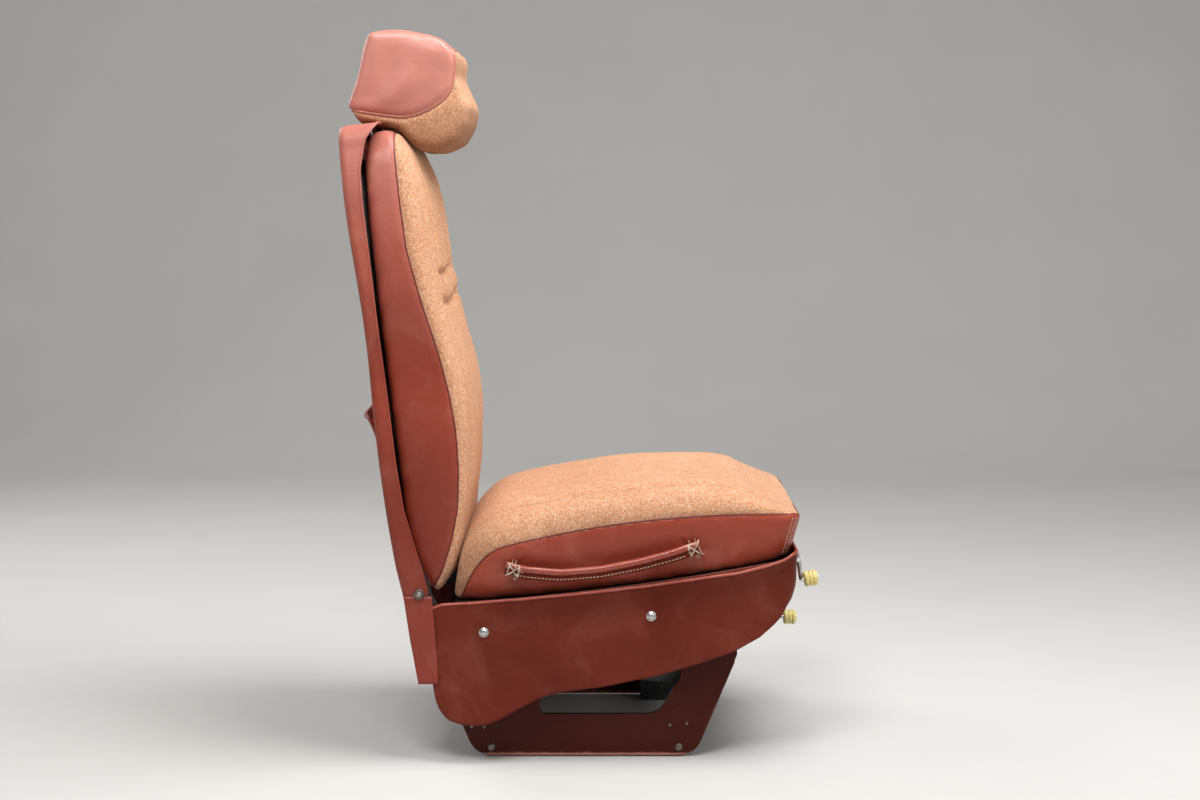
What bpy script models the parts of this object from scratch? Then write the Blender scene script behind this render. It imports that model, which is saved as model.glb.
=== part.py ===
"""Aircraft co-pilot seat on a rail-mounted base, with a crank-raised pan,
a crank-reclined back and a sliding headrest.

+X is forward, +Y is the occupant's left, +Z is up. The origin is on the floor,
below the middle of the seat. The back is drawn upright in its own frame and
turned by BACK_TILT about the recline pivot. Lengths are metres."""
import math

import bmesh
import bpy
import numpy as np
from mathutils import Vector
from mathutils.geometry import tessellate_polygon

# Clearances
TOUCH = 0.0003        # gap left between faces that touch
RUNNING = 0.0004      # radial gap of a shaft in its bore
FORK_PLAY = 0.0005    # play of a pin in a fork slot, per side
OPEN_PIVOT = 0.0008   # radial gap of the pivot that opens the lift linkage

# Base
PANEL_FACE = 0.212        # outer face of a base side panel from the middle
PANEL_SHEET = 0.002
PANEL_FLANGE = 0.012
PANEL_FOOT_HALF = 0.1688  # half length of a panel at its bottom edge
PANEL_TOP_HALF = 0.242
PANEL_BOTTOM = 0.003
PANEL_TOP = 0.178
PANEL_CORNER = 0.035
WINDOW_BOTTOM = 0.066
WINDOW_TOP = 0.142
WINDOW_REAR = -0.067
WINDOW_FRONT_LOW = 0.112
WINDOW_FRONT_HIGH = 0.158
TIE_INNER = 0.150         # nearer edge of a cross tie from the middle
TIE_WIDTH = 0.028
TIE_HEIGHT = 0.020
TIE_WALL = 0.003

# Feet, rollers and lock pins
FOOT_NEAR = 0.092         # foot's nearer end from the middle, along X
FOOT_FAR = 0.155
FOOT_TOP = 0.044
TIE_BOTTOM = FOOT_TOP + TOUCH
FOOT_INNER = 0.163        # foot's inboard face from the middle, along Y
FOOT_STEP = 0.010         # height where the foot steps out over the panel flange
RAIL_NECK = 0.012
RAIL_HEAD = 0.028
RAIL_LIP = 0.004
RAIL_HEAD_TOP = 0.0115
SLOT_TOP = 0.013
ROLLER_RADIUS = 0.010
ROLLER_WIDTH = 0.009
ROLLER_SIDE_GAP = 0.0008
ROLLER_X = 0.108
AXLE_RADIUS = 0.003
LOCK_PIN_RADIUS = 0.004
LOCK_PIN_X = 0.137
LOCK_PIN_TIP = 0.006
LOCK_KNOB_RADIUS = 0.009
LOCK_KNOB_HEIGHT = 0.012
FOOT_BOLT_X = 0.145
FOOT_BOLT_Z = 0.0148
BOLT_RADIUS = 0.003
BOLT_HEAD_RADIUS = 0.006
BOLT_HEAD_HEIGHT = 0.0035
BOLT_DEPTH = 0.011

# Height linkage
FRONT_PIVOT = (0.180, 0.114)
REAR_PIVOT = (-0.100, 0.114)
LINK_LENGTH = 0.120
LINK_REST = math.radians(6.0)
LINK_Y = 0.150
LINK_THICK = 0.006
LINK_EYE = 0.0165
PIVOT_RADIUS = 0.008
BEARING_FLANGE_RADIUS = 0.018
BEARING_HUB_RADIUS = 0.013
BEARING_FLANGE = 0.003
BEARING_LENGTH = 0.013
BRACKET_Y = 0.176
BRACKET_THICK = 0.004
BRACKET_EYE = 0.015
BRACKET_TOP_HALF = 0.040

# Seat pan
SEAT_LEVEL = 0.2605       # height of the pan sheet at X = 0
SEAT_SLOPE = 0.118
SEAT_CURVE = 0.13
SHEET_THICK = 0.0015
SHEET_HALF = 0.2355
SHEET_TURN_DOWN = 0.016
SHEET_REAR = -0.200
SHEET_FRONT = 0.312
RAIL_FACE = 0.240         # outer face of a pan rail from the middle
RAIL_THICK = 0.004
RAIL_DEPTH = 0.050
MEMBER_FRONT_X = 0.298
MEMBER_REAR_X = -0.170
MEMBER_THICK = 0.003
MEMBER_DEPTH = 0.042
MEMBER_HALF = SHEET_HALF - SHEET_THICK - 0.0005    # between the sheet's turned edges

# Skirts
SKIRT_INNER = 0.2425
SKIRT_THICK = 0.0025
SKIRT_LAP = 0.0085        # how far a skirt stands above the pan sheet
SKIRT_FRONT_X = 0.3245
SKIRT_FRONT_BOTTOM = 0.252
SKIRT_CORNER = 0.020
APRON_TOP = 0.236
APRON_BOTTOM = 0.123
APRON_REAR = -0.276

# Seat cushion
CUSHION_HALF = 0.235
CUSHION_REAR = -0.184
CUSHION_FRONT = 0.3215
CROWN_TOP = 0.4305
CROWN_X = 0.16
SEAM_TOP = 0.381
STRAP_HALF_WIDTH = 0.0065
STRAP_THICK = 0.007
STRAP_STAND = 0.0025

# Back
RECLINE_PIVOT = (-0.252, 0.261)
BACK_TILT = math.radians(6.6)
BACK_HEIGHT = 0.7045
COVER_HALF = 0.248
COVER_TOP_HALF = 0.205
BACK_HALF = COVER_HALF - 0.026
BACK_TOP_HALF = COVER_TOP_HALF - 0.023
COVER_TOP = 0.716
COVER_REAR = 0.0385
COVER_WALL = 0.002
COVER_LOW = -0.006        # lower edge of the cover's rear wall, below the recline pivot
HOOP_RADIUS = 0.0095
HOOP_HALF = COVER_HALF - 0.0275
HOOP_TOP_HALF = 0.160
HOOP_TOP = 0.655
HOOP_REAR = 0.0235
HINGE_PLATE = 0.005
PIVOT_BOLT_RADIUS = 0.005
LOWER_TUBE_S = 0.060
LOWER_TUBE_RADIUS = 0.008
POCKET_HALF = 0.170
POCKET_BOTTOM = 0.075
POCKET_TOP = 0.262
POCKET_DEPTH = 0.017
POCKET_WALL = 0.002

# Headrest
HEAD_HALF = 0.130
POST_RADIUS = 0.005
POST_HALF_GAP = 0.065
POST_N = -0.003
POST_LOW = 0.530
POST_TOP = 0.774
GUIDE_RADIUS = 0.008
GUIDE_LOW = 0.520
GUIDE_TOP = 0.700

# Screws and cranks
SHAFT_RADIUS = 0.005
RECLINE_Y = -0.150
RECLINE_HUB_X = 0.3298
RECLINE_SLOPE = math.radians(9.0)
RECLINE_LEVER = 0.052
RECLINE_RANGE = math.radians(15.0)
HEIGHT_LEVER = 0.0625
HEIGHT_HUB_X = 0.3283
LIFT_RANGE = math.radians(34.0)
NUT_HALF = 0.011
NUT_TO_BRACKET = 0.013    # room between a nut and the bracket or rail beside it
HEIGHT_Y = BRACKET_Y - BRACKET_THICK / 2 - NUT_TO_BRACKET - NUT_HALF
TRUNNION_RADIUS = 0.004
TRUNNION_LENGTH = 0.010
LEVER_THICK = 0.005
CRANK_ROD = 0.0035
CRANK_HUB_RADIUS = 0.008
CRANK_HUB_BACK = 0.002    # how far a crank's hub reaches back along its shaft
RECLINE_THROW = 0.0355
HEIGHT_THROW = 0.042
KNOB_RADIUS = 0.0125
KNOB_LENGTH = 0.022
KNOB_STAND = 0.0060       # from the hub's face to the knob's inner end, along the shaft
KNOB_GROOVES = 2

PALETTE = {
    "leather": ((0.30, 0.065, 0.035), 0.45, 0.0),
    "tweed": ((0.62, 0.27, 0.11), 0.9, 0.0),
    "base_paint": ((0.07, 0.018, 0.012), 0.4, 0.0),
    "black_steel": ((0.03, 0.03, 0.032), 0.45, 0.6),
    "steel": ((0.45, 0.45, 0.46), 0.35, 1.0),
    "chrome": ((0.8, 0.8, 0.82), 0.12, 1.0),
    "ivory": ((0.82, 0.70, 0.36), 0.35, 0.0),
    "brass": ((0.62, 0.45, 0.18), 0.35, 1.0),
    "rubber": ((0.03, 0.03, 0.03), 0.8, 0.0),
}
SIDES = (("right", -1.0), ("left", 1.0))


def seat_line(x):
    """Height of the pan sheet's top: a shallow parabola that rises forward."""
    return SEAT_LEVEL + SEAT_SLOPE * x + SEAT_CURVE * x * x


def along_seat(start, end, count, shift):
    """Points on the seat line from start to end, moved up by shift."""
    return [(x, seat_line(x) + shift) for x in np.linspace(start, end, count)]


def circle(centre, radius, count=20):
    """Points of a circle."""
    turns = np.arange(count) * 2 * math.pi / count
    return [(centre[0] + radius * math.cos(a), centre[1] + radius * math.sin(a)) for a in turns]


def rounded(corners, steps=4):
    """Outline from corners (u, v, radius), each replaced by its tangent arc."""
    points = []
    for index, (u, v, radius) in enumerate(corners):
        here = np.array((u, v))
        before = np.array(corners[index - 1][:2]) - here
        after = np.array(corners[(index + 1) % len(corners)][:2]) - here
        if radius <= 0:
            points.append((u, v))
            continue
        before /= np.linalg.norm(before)
        after /= np.linalg.norm(after)
        half = math.acos(np.clip(before @ after, -1, 1)) / 2
        bisector = (before + after) / np.linalg.norm(before + after)
        centre = here + bisector * radius / math.sin(half)
        first = here + before * radius / math.tan(half) - centre
        last = here + after * radius / math.tan(half) - centre
        start = math.atan2(first[1], first[0])
        sweep = math.atan2(last[1], last[0]) - start
        sweep = (sweep + math.pi) % (2 * math.pi) - math.pi
        for step in range(steps + 1):
            angle = start + sweep * step / steps
            points.append((centre[0] + radius * math.cos(angle), centre[1] + radius * math.sin(angle)))
    return points


def bar_outline(first, first_radius, second, second_radius, steps=8):
    """Outline of a bar that joins two round ends."""
    heading = math.atan2(second[1] - first[1], second[0] - first[0])
    length = math.dist(first, second)
    lean = math.acos((first_radius - second_radius) / length)
    points = []
    for step in range(steps + 1):
        angle = heading + lean + (2 * math.pi - 2 * lean) * step / steps
        points.append((first[0] + first_radius * math.cos(angle), first[1] + first_radius * math.sin(angle)))
    for step in range(steps + 1):
        angle = heading - lean + 2 * lean * step / steps
        points.append((second[0] + second_radius * math.cos(angle), second[1] + second_radius * math.sin(angle)))
    return points


def smooth_loop(points, per_span):
    """Closed curve through the points, by Catmull-Rom spans."""
    knots = np.array(points, float)
    result = []
    for index in range(len(knots)):
        a, b, c, d = (knots[(index + k) % len(knots)] for k in (-1, 0, 1, 2))
        for t in np.arange(per_span) / per_span:
            curve = 2 * b + (c - a) * t + (2 * a - 5 * b + 4 * c - d) * t * t
            result.append(tuple((curve + (3 * b - a - 3 * c + d) * t ** 3) / 2))
    return result


def smooth_path(points, per_span):
    """Open curve through the points, by Catmull-Rom spans."""
    knots = np.array([points[0]] + list(points) + [points[-1]], float)
    result = []
    for a, b, c, d in zip(knots, knots[1:], knots[2:], knots[3:]):
        for t in np.arange(per_span) / per_span:
            curve = 2 * b + (c - a) * t + (2 * a - 5 * b + 4 * c - d) * t * t
            result.append(tuple((curve + (3 * b - a - 3 * c + d) * t ** 3) / 2))
    return result + [tuple(points[-1])]


def counter_clockwise(loop):
    """The loop, turned round if it runs clockwise."""
    area = sum(a[0] * b[1] - b[0] * a[1] for a, b in zip(loop, loop[1:] + loop[:1]))
    return loop if area > 0 else loop[::-1]


def inset(loop, distance):
    """Counter-clockwise loop moved inwards by distance, with mitred corners."""
    points = np.array(counter_clockwise(loop))
    along = np.roll(points, -1, 0) - points
    along /= np.linalg.norm(along, axis=1)[:, None]
    normal = np.stack((-along[:, 1], along[:, 0]), 1)
    both = normal + np.roll(normal, 1, 0)
    scale = 2 / (both * both).sum(1)
    return [tuple(p) for p in points + both * scale[:, None] * distance]


def lay(loop, axis, height):
    """Flat loop (u, v) set across an axis: u, v run along the other two in X, Y, Z order."""
    if axis == "X":
        return [(height, u, v) for u, v in loop]
    if axis == "Y":
        return [(u, height, v) for u, v in loop]
    return [(u, v, height) for u, v in loop]


class Shape:
    """Vertices and faces of one closed solid under construction."""

    def __init__(self):
        self.points = []
        self.faces = []

    def ring(self, loop):
        """Add a loop of points and return their numbers."""
        start = len(self.points)
        self.points.extend(loop)
        return list(range(start, len(self.points)))

    def band(self, first, second):
        """Join two rings of equal length by quads."""
        for k in range(len(first)):
            after = (k + 1) % len(first)
            self.faces.append((first[k], first[after], second[after], second[k]))

    def cap(self, *rings):
        """Close the region between an outer ring and any inner rings."""
        numbers = [n for ring in rings for n in ring]
        loops = [[Vector(self.points[n]) for n in ring] for ring in rings]
        for triangle in tessellate_polygon(loops):
            self.faces.append(tuple(numbers[k] for k in triangle))


def extrusion(outer, holes, axis, low, high):
    """Flat plate with holes, from low to high along the axis."""
    shape = Shape()
    loops = [outer] + list(holes)
    lower = [shape.ring(lay(loop, axis, low)) for loop in loops]
    upper = [shape.ring(lay(loop, axis, high)) for loop in loops]
    for first, second in zip(lower, upper):
        shape.band(first, second)
    shape.cap(*lower)
    shape.cap(*upper)
    return shape


def pressed_sheet(outer, window, holes, face, inward, sheet, flange):
    """Sheet panel across Y with its rim and its window's rim turned inward."""
    shape = Shape()
    outer = counter_clockwise(outer)
    window = counter_clockwise(window)
    back = face + inward * sheet
    lip = face + inward * flange
    rims = ((outer, inset(outer, sheet)), (window, inset(window, -sheet)))
    fronts, backs = [], []
    for edge, inner in rims:
        front = shape.ring(lay(edge, "Y", face))
        lip_outer = shape.ring(lay(edge, "Y", lip))
        lip_inner = shape.ring(lay(inner, "Y", lip))
        rear = shape.ring(lay(inner, "Y", back))
        shape.band(front, lip_outer)
        shape.band(lip_outer, lip_inner)
        shape.band(lip_inner, rear)
        fronts.append(front)
        backs.append(rear)
    for hole in holes:
        front = shape.ring(lay(hole, "Y", face))
        rear = shape.ring(lay(hole, "Y", back))
        shape.band(front, rear)
        fronts.append(front)
        backs.append(rear)
    shape.cap(*fronts)
    shape.cap(*backs)
    return shape


def turned(profile, centre, axis, count=20):
    """Solid of revolution: profile (radius, height) about the axis through centre."""
    shape = Shape()
    axis = np.array(axis, float) / np.linalg.norm(axis)
    side = np.cross(axis, (0.0, 1.0, 0.0) if abs(axis[1]) < 0.9 else (0.0, 0.0, 1.0))
    side /= np.linalg.norm(side)
    other = np.cross(axis, side)
    rings = []
    for radius, height in profile:
        middle = np.array(centre) + axis * height
        if radius < 1e-9:
            rings.append(shape.ring([tuple(middle)]) * count)
            continue
        turns = np.arange(count) * 2 * math.pi / count
        loop = [middle + radius * (math.cos(a) * side + math.sin(a) * other) for a in turns]
        rings.append(shape.ring([tuple(p) for p in loop]))
    closed = profile[0][0] > 1e-9
    for first, second in zip(rings, rings[1:] + (rings[:1] if closed else [])):
        for k in range(count):
            after = (k + 1) % count
            corners = (first[k], first[after], second[after], second[k])
            shape.faces.append(tuple(dict.fromkeys(corners)))
    shape.faces = [face for face in shape.faces if len(face) > 2]
    return shape


def cylinder(start, end, radius, count=16):
    """Plain round bar from start to end."""
    start, end = np.array(start, float), np.array(end, float)
    length = np.linalg.norm(end - start)
    return turned([(0, 0), (radius, 0), (radius, length), (0, length)], start, end - start, count)


def sleeve(start, end, outer, inner, count=20):
    """Tube from start to end."""
    start, end = np.array(start, float), np.array(end, float)
    length = np.linalg.norm(end - start)
    profile = [(inner, 0), (outer, 0), (outer, length), (inner, length)]
    return turned(profile, start, end - start, count)


def bend_points(corners, radius, steps=4):
    """Path through the corners, with a round bend of the radius at each inner one."""
    corners = [np.array(c, float) for c in corners]
    path = [corners[0]]
    for before, here, after in zip(corners, corners[1:], corners[2:]):
        back = (before - here) / np.linalg.norm(before - here)
        ahead = (after - here) / np.linalg.norm(after - here)
        half = math.acos(np.clip(back @ ahead, -1, 1)) / 2
        reach = radius / math.tan(half)
        for t in np.linspace(0, 1, steps + 1):
            first = here + back * reach * (1 - t)
            second = here + ahead * reach * t
            path.append(first * (1 - t) + second * t)
    path.append(corners[-1])
    return path


def rod(path, radius, count=12):
    """Round bar along a path, mitred at each point."""
    shape = Shape()
    path = np.array(path, float)
    ahead = np.diff(path, axis=0)
    ahead /= np.linalg.norm(ahead, axis=1)[:, None]
    tangents = np.vstack((ahead[:1], ahead[:-1] + ahead[1:], ahead[-1:]))
    tangents /= np.linalg.norm(tangents, axis=1)[:, None]
    guess = (0.0, 0.0, 1.0) if abs(tangents[0][2]) < 0.8 else (1.0, 0.0, 0.0)
    side = np.cross(tangents[0], guess)
    rings = []
    for index, (middle, tangent) in enumerate(zip(path, tangents)):
        side = side - tangent * (side @ tangent)
        side /= np.linalg.norm(side)
        other = np.cross(tangent, side)
        turns = np.arange(count) * 2 * math.pi / count
        loop = [middle + radius * (math.cos(a) * side + math.sin(a) * other) for a in turns]
        rings.append(shape.ring([tuple(p) for p in loop]))
    for first, second in zip(rings, rings[1:]):
        shape.band(first, second)
    shape.cap(rings[0])
    shape.cap(rings[-1])
    return shape


def loft(loops):
    """Solid through a row of loops that have equal counts."""
    shape = Shape()
    rings = [shape.ring(loop) for loop in loops]
    for first, second in zip(rings, rings[1:]):
        shape.band(first, second)
    shape.cap(rings[0])
    shape.cap(rings[-1])
    return shape


materials = {}
bodies = {}


def material(name):
    """Principled material of the palette's colour, roughness and metallic value."""
    if name not in materials:
        made = bpy.data.materials.new(name)
        made.use_nodes = True
        shader = made.node_tree.nodes["Principled BSDF"]
        colour, roughness, metallic = PALETTE[name]
        shader.inputs["Base Color"].default_value = (*colour, 1.0)
        shader.inputs["Roughness"].default_value = roughness
        shader.inputs["Metallic"].default_value = metallic
        made.diffuse_color = (*colour, 1.0)
        materials[name] = made
    return materials[name]


def make_body(name, origin, parent=None, tilt=0.0):
    """Empty on a moving group's joint axis; pieces drawn round origin hang on it."""
    empty = bpy.data.objects.new(name + "_axis", None)
    bpy.context.collection.objects.link(empty)
    shift = Vector(origin)
    if parent:
        empty.parent = bodies[parent][0]
        shift = shift - bodies[parent][1]
    empty.location = shift
    empty.rotation_euler = (0.0, -tilt, 0.0)
    bodies[name] = (empty, Vector((0, 0, 0)) if tilt else Vector(origin))


def mesh_object(name, shape, origin):
    """Object with the shape's mesh, drawn round origin, with outward faces."""
    mesh = bpy.data.meshes.new(name)
    mesh.from_pydata([Vector(p) - Vector(origin) for p in shape.points], [], shape.faces)
    work = bmesh.new()
    work.from_mesh(mesh)
    bmesh.ops.remove_doubles(work, verts=work.verts, dist=1e-7)
    bmesh.ops.recalc_face_normals(work, faces=work.faces)
    work.to_mesh(mesh)
    work.free()
    item = bpy.data.objects.new(name, mesh)
    bpy.context.collection.objects.link(item)
    return item


def piece(name, shape, finish, body=None, adds=(), cuts=(), smooth=False):
    """Named sub-part on a body, with solids added to it and cut from it."""
    empty, origin = bodies[body] if body else (None, Vector((0, 0, 0)))
    item = mesh_object(name, shape, origin)
    item.parent = empty
    item.data.materials.append(material(finish))
    if smooth:
        item.data.shade_smooth()
        item.data.set_sharp_from_angle(angle=math.radians(35))
    for operation, helpers in (("UNION", adds), ("DIFFERENCE", cuts)):
        for number, helper_shape in enumerate(helpers):
            helper = mesh_object(f"{name}_{operation.lower()}_{number}", helper_shape, origin)
            helper.parent = empty
            helper.hide_render = True
            helper.display_type = "WIRE"
            change = item.modifiers.new(helper.name, "BOOLEAN")
            change.operation = operation
            change.object = helper
    return item


def across(point, y):
    """World point from a side-view point (x, z) and a Y."""
    return (point[0], y, point[1])


def link_head(pivot):
    """Upper pivot of a lift link whose lower pivot is given."""
    return (pivot[0] - LINK_LENGTH * math.cos(LINK_REST), pivot[1] + LINK_LENGTH * math.sin(LINK_REST))


def build_base_panels():
    """Pressed side panels with flared ends, a large window and welded bearing cups."""
    outline = rounded([
        (-PANEL_FOOT_HALF, PANEL_BOTTOM, PANEL_CORNER), (PANEL_FOOT_HALF, PANEL_BOTTOM, PANEL_CORNER),
        (PANEL_TOP_HALF, PANEL_TOP, 0.015), (-PANEL_TOP_HALF, PANEL_TOP, 0.015)], 6)
    window = rounded([
        (WINDOW_REAR - 0.002, WINDOW_BOTTOM, 0.008), (WINDOW_FRONT_LOW, WINDOW_BOTTOM, 0.030),
        (WINDOW_FRONT_HIGH, WINDOW_TOP, 0.012), (WINDOW_REAR, WINDOW_TOP, 0.010)])
    holes = [circle((side * FOOT_BOLT_X, FOOT_BOLT_Z), BOLT_RADIUS + RUNNING, 12) for side in (-1, 1)]
    bore = PIVOT_RADIUS + RUNNING
    root = PANEL_SHEET / 2
    cup = [(bore, 0), (BEARING_FLANGE_RADIUS, 0), (BEARING_FLANGE_RADIUS, root + BEARING_FLANGE),
           (BEARING_HUB_RADIUS, root + BEARING_FLANGE), (BEARING_HUB_RADIUS, root + BEARING_LENGTH),
           (bore, root + BEARING_LENGTH)]
    for label, sign in SIDES:
        shape = pressed_sheet(outline, window, holes, sign * PANEL_FACE, -sign, PANEL_SHEET, PANEL_FLANGE)
        cups = [turned(cup, across(pivot, sign * (PANEL_FACE - root)), (0, -sign, 0))
                for pivot in (FRONT_PIVOT, REAR_PIVOT)]
        piece("base_side_panel_" + label, shape, "base_paint", adds=cups)


def build_ties():
    """Channel-section cross ties between the panels, open side down."""
    reach = PANEL_FACE - PANEL_SHEET - TOUCH
    top = TIE_BOTTOM + TIE_HEIGHT
    for label, sign in (("front", 1.0), ("rear", -1.0)):
        near, far = TIE_INNER, TIE_INNER + TIE_WIDTH
        section = [
            (near, TIE_BOTTOM), (near + TIE_WALL, TIE_BOTTOM), (near + TIE_WALL, top - TIE_WALL),
            (far - TIE_WALL, top - TIE_WALL), (far - TIE_WALL, TIE_BOTTOM), (far, TIE_BOTTOM),
            (far, top), (near, top)]
        section = [(sign * x, z) for x, z in section]
        piece(f"base_{label}_tie", extrusion(section, [], "Y", -reach, reach), "black_steel")


def foot_section(sign):
    """Foot outline across X: a T-slot for the floor rail below a roller slot."""
    middle = rail_middle()
    neck, head = RAIL_NECK / 2, RAIL_HEAD / 2
    slot = ROLLER_WIDTH / 2 + ROLLER_SIDE_GAP
    outer = PANEL_FACE - PANEL_SHEET - TOUCH
    inside_flange = PANEL_FACE - PANEL_FLANGE - TOUCH
    roof = roller_height() + ROLLER_RADIUS + 0.002
    points = [
        (FOOT_INNER, 0), (middle - neck, 0), (middle - neck, RAIL_LIP), (middle - head, RAIL_LIP),
        (middle - head, SLOT_TOP), (middle - slot, SLOT_TOP), (middle - slot, roof),
        (middle + slot, roof), (middle + slot, SLOT_TOP), (middle + head, SLOT_TOP),
        (middle + head, RAIL_LIP), (middle + neck, RAIL_LIP), (middle + neck, 0),
        (inside_flange, 0), (inside_flange, FOOT_STEP), (outer, FOOT_STEP),
        (outer, FOOT_TOP - 0.006), (outer - 0.006, FOOT_TOP), (FOOT_INNER + 0.006, FOOT_TOP),
        (FOOT_INNER, FOOT_TOP - 0.006)]
    return [(sign * y, z) for y, z in points]


def rail_middle():
    """Distance of the floor rail's middle from the seat's middle."""
    return FOOT_INNER + 0.0055 + RAIL_HEAD / 2


def roller_height():
    """Height of a roller's axle: the roller runs on the rail's head."""
    return RAIL_HEAD_TOP + ROLLER_RADIUS


def build_feet():
    """Four rail feet with roller axles, rollers, bolts and two lock pins."""
    slot = ROLLER_WIDTH / 2 + ROLLER_SIDE_GAP
    middle = rail_middle()
    for side, y_sign in SIDES:
        for end, x_sign in (("front", 1.0), ("rear", -1.0)):
            label = f"{end}_{side}"
            low, high = sorted((x_sign * FOOT_NEAR, x_sign * FOOT_FAR))
            axle_at = (x_sign * ROLLER_X, roller_height())
            axle = cylinder(across(axle_at, y_sign * (middle - slot - 0.002)),
                            across(axle_at, y_sign * (middle + slot + 0.002)), AXLE_RADIUS, 12)
            bolt_at = (x_sign * FOOT_BOLT_X, FOOT_BOLT_Z)
            bolt_end = PANEL_FACE - PANEL_SHEET - BOLT_DEPTH
            bore = cylinder(across(bolt_at, y_sign * PANEL_FACE),
                            across(bolt_at, y_sign * (bolt_end - TOUCH)), BOLT_RADIUS + RUNNING, 12)
            cuts = [bore]
            if end == "front":
                pin_x, pin_y = x_sign * LOCK_PIN_X, y_sign * middle
                cuts.append(cylinder((pin_x, pin_y, SLOT_TOP), (pin_x, pin_y, FOOT_TOP + 0.01),
                                     LOCK_PIN_RADIUS + RUNNING))
                make_body("lock_pin_" + side, (pin_x, pin_y, FOOT_TOP))
                seat = FOOT_TOP + TOUCH
                profile = [
                    (0, LOCK_PIN_TIP), (LOCK_PIN_RADIUS - 0.001, LOCK_PIN_TIP),
                    (LOCK_PIN_RADIUS, LOCK_PIN_TIP + 0.001), (LOCK_PIN_RADIUS, seat),
                    (LOCK_KNOB_RADIUS, seat), (LOCK_KNOB_RADIUS, seat + LOCK_KNOB_HEIGHT - 0.002),
                    (LOCK_KNOB_RADIUS - 0.002, seat + LOCK_KNOB_HEIGHT), (0, seat + LOCK_KNOB_HEIGHT)]
                piece("lock_pin_" + side, turned(profile, (pin_x, pin_y, 0), (0, 0, 1)), "steel",
                      "lock_pin_" + side, smooth=True)
            foot = extrusion(foot_section(y_sign), [], "X", low, high)
            piece("foot_" + label, foot, "black_steel", adds=[axle], cuts=cuts)
            make_body("roller_" + label, across(axle_at, y_sign * middle))
            half = ROLLER_WIDTH / 2
            wheel = turned([
                (AXLE_RADIUS + RUNNING, -half), (ROLLER_RADIUS - 0.001, -half),
                (ROLLER_RADIUS, 0.001 - half), (ROLLER_RADIUS, half - 0.001),
                (ROLLER_RADIUS - 0.001, half), (AXLE_RADIUS + RUNNING, half)],
                across(axle_at, y_sign * middle), (0, 1, 0), 24)
            piece("roller_" + label, wheel, "steel", "roller_" + label, smooth=True)
            head = PANEL_FACE + TOUCH
            bolt = turned([
                (0, -bolt_end), (BOLT_RADIUS, -bolt_end), (BOLT_RADIUS, -head), (BOLT_HEAD_RADIUS, -head),
                (BOLT_HEAD_RADIUS, -head - 0.002), (BOLT_HEAD_RADIUS - 0.0015, -head - BOLT_HEAD_HEIGHT),
                (0, -head - BOLT_HEAD_HEIGHT)], across(bolt_at, 0), (0, -y_sign, 0), 12)
            piece("foot_bolt_" + label, bolt, "steel")


def bracket_foot(x):
    """Height just under the pan sheet at x."""
    return seat_line(x) - SHEET_THICK - TOUCH


def build_lift():
    """Pivot shafts, the two lift links and the pan's brackets."""
    inner_face = PANEL_FACE - PANEL_SHEET - TOUCH
    make_body("pan", across(link_head(FRONT_PIVOT), 0))
    for label, pivot in (("front", FRONT_PIVOT), ("rear", REAR_PIVOT)):
        head = link_head(pivot)
        piece(label + "_pivot_shaft", cylinder(across(pivot, -inner_face), across(pivot, inner_face),
                                               PIVOT_RADIUS), "steel", smooth=True)
        make_body(label + "_link", across(pivot, 0))
        eye = circle(pivot, PIVOT_RADIUS + RUNNING)
        arm = bar_outline(pivot, LINK_EYE, head, LINK_EYE)
        arms = [extrusion(arm, [eye], "Y", y - LINK_THICK / 2, y + LINK_THICK / 2) for y in (-LINK_Y, LINK_Y)]
        play = OPEN_PIVOT if label == "rear" else RUNNING
        tube_end = BRACKET_Y + BRACKET_THICK / 2 + 0.004
        tube = cylinder(across(head, -tube_end), across(head, tube_end), PIVOT_RADIUS)
        if label == "front":
            arms.append(height_lever())
        piece(label + "_lift_link", tube, "black_steel", label + "_link", adds=arms, smooth=True)
        for side, sign in SIDES:
            low, high = sorted(sign * (BRACKET_Y + k * BRACKET_THICK / 2) for k in (-1, 1))
            feet = [head[0] + k * BRACKET_TOP_HALF for k in (-1, 1)]
            feet = [max(x, SHEET_REAR) for x in feet]
            lower = [(head[0] + BRACKET_EYE * math.cos(a), head[1] + BRACKET_EYE * math.sin(a))
                     for a in np.linspace(-math.pi, 0, 9)]
            outline = [(feet[0], bracket_foot(feet[0]))] + lower + [(feet[1], bracket_foot(feet[1]))]
            hole = circle(head, PIVOT_RADIUS + play)
            piece(f"{label}_bracket_{side}", extrusion(outline, [hole], "Y", low, high), "black_steel", "pan")


def nut_height():
    """Height of the lift screw: the lever stands upright at mid travel."""
    return link_head(FRONT_PIVOT)[1] + HEIGHT_LEVER


def rail_outline():
    """Side outline of a pan rail, with an ear round the recline pivot."""
    x, z = RECLINE_PIVOT
    ear = [(x + 0.016 * math.cos(a), z + 0.016 * math.sin(a)) for a in np.linspace(0.25, 4.1, 10)]
    drop = SHEET_THICK + TOUCH
    top = along_seat(SHEET_FRONT, -0.222, 10, -drop)
    bottom = along_seat(-0.243, SHEET_FRONT - 0.012, 8, -RAIL_DEPTH)
    return top + ear + bottom


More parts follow.
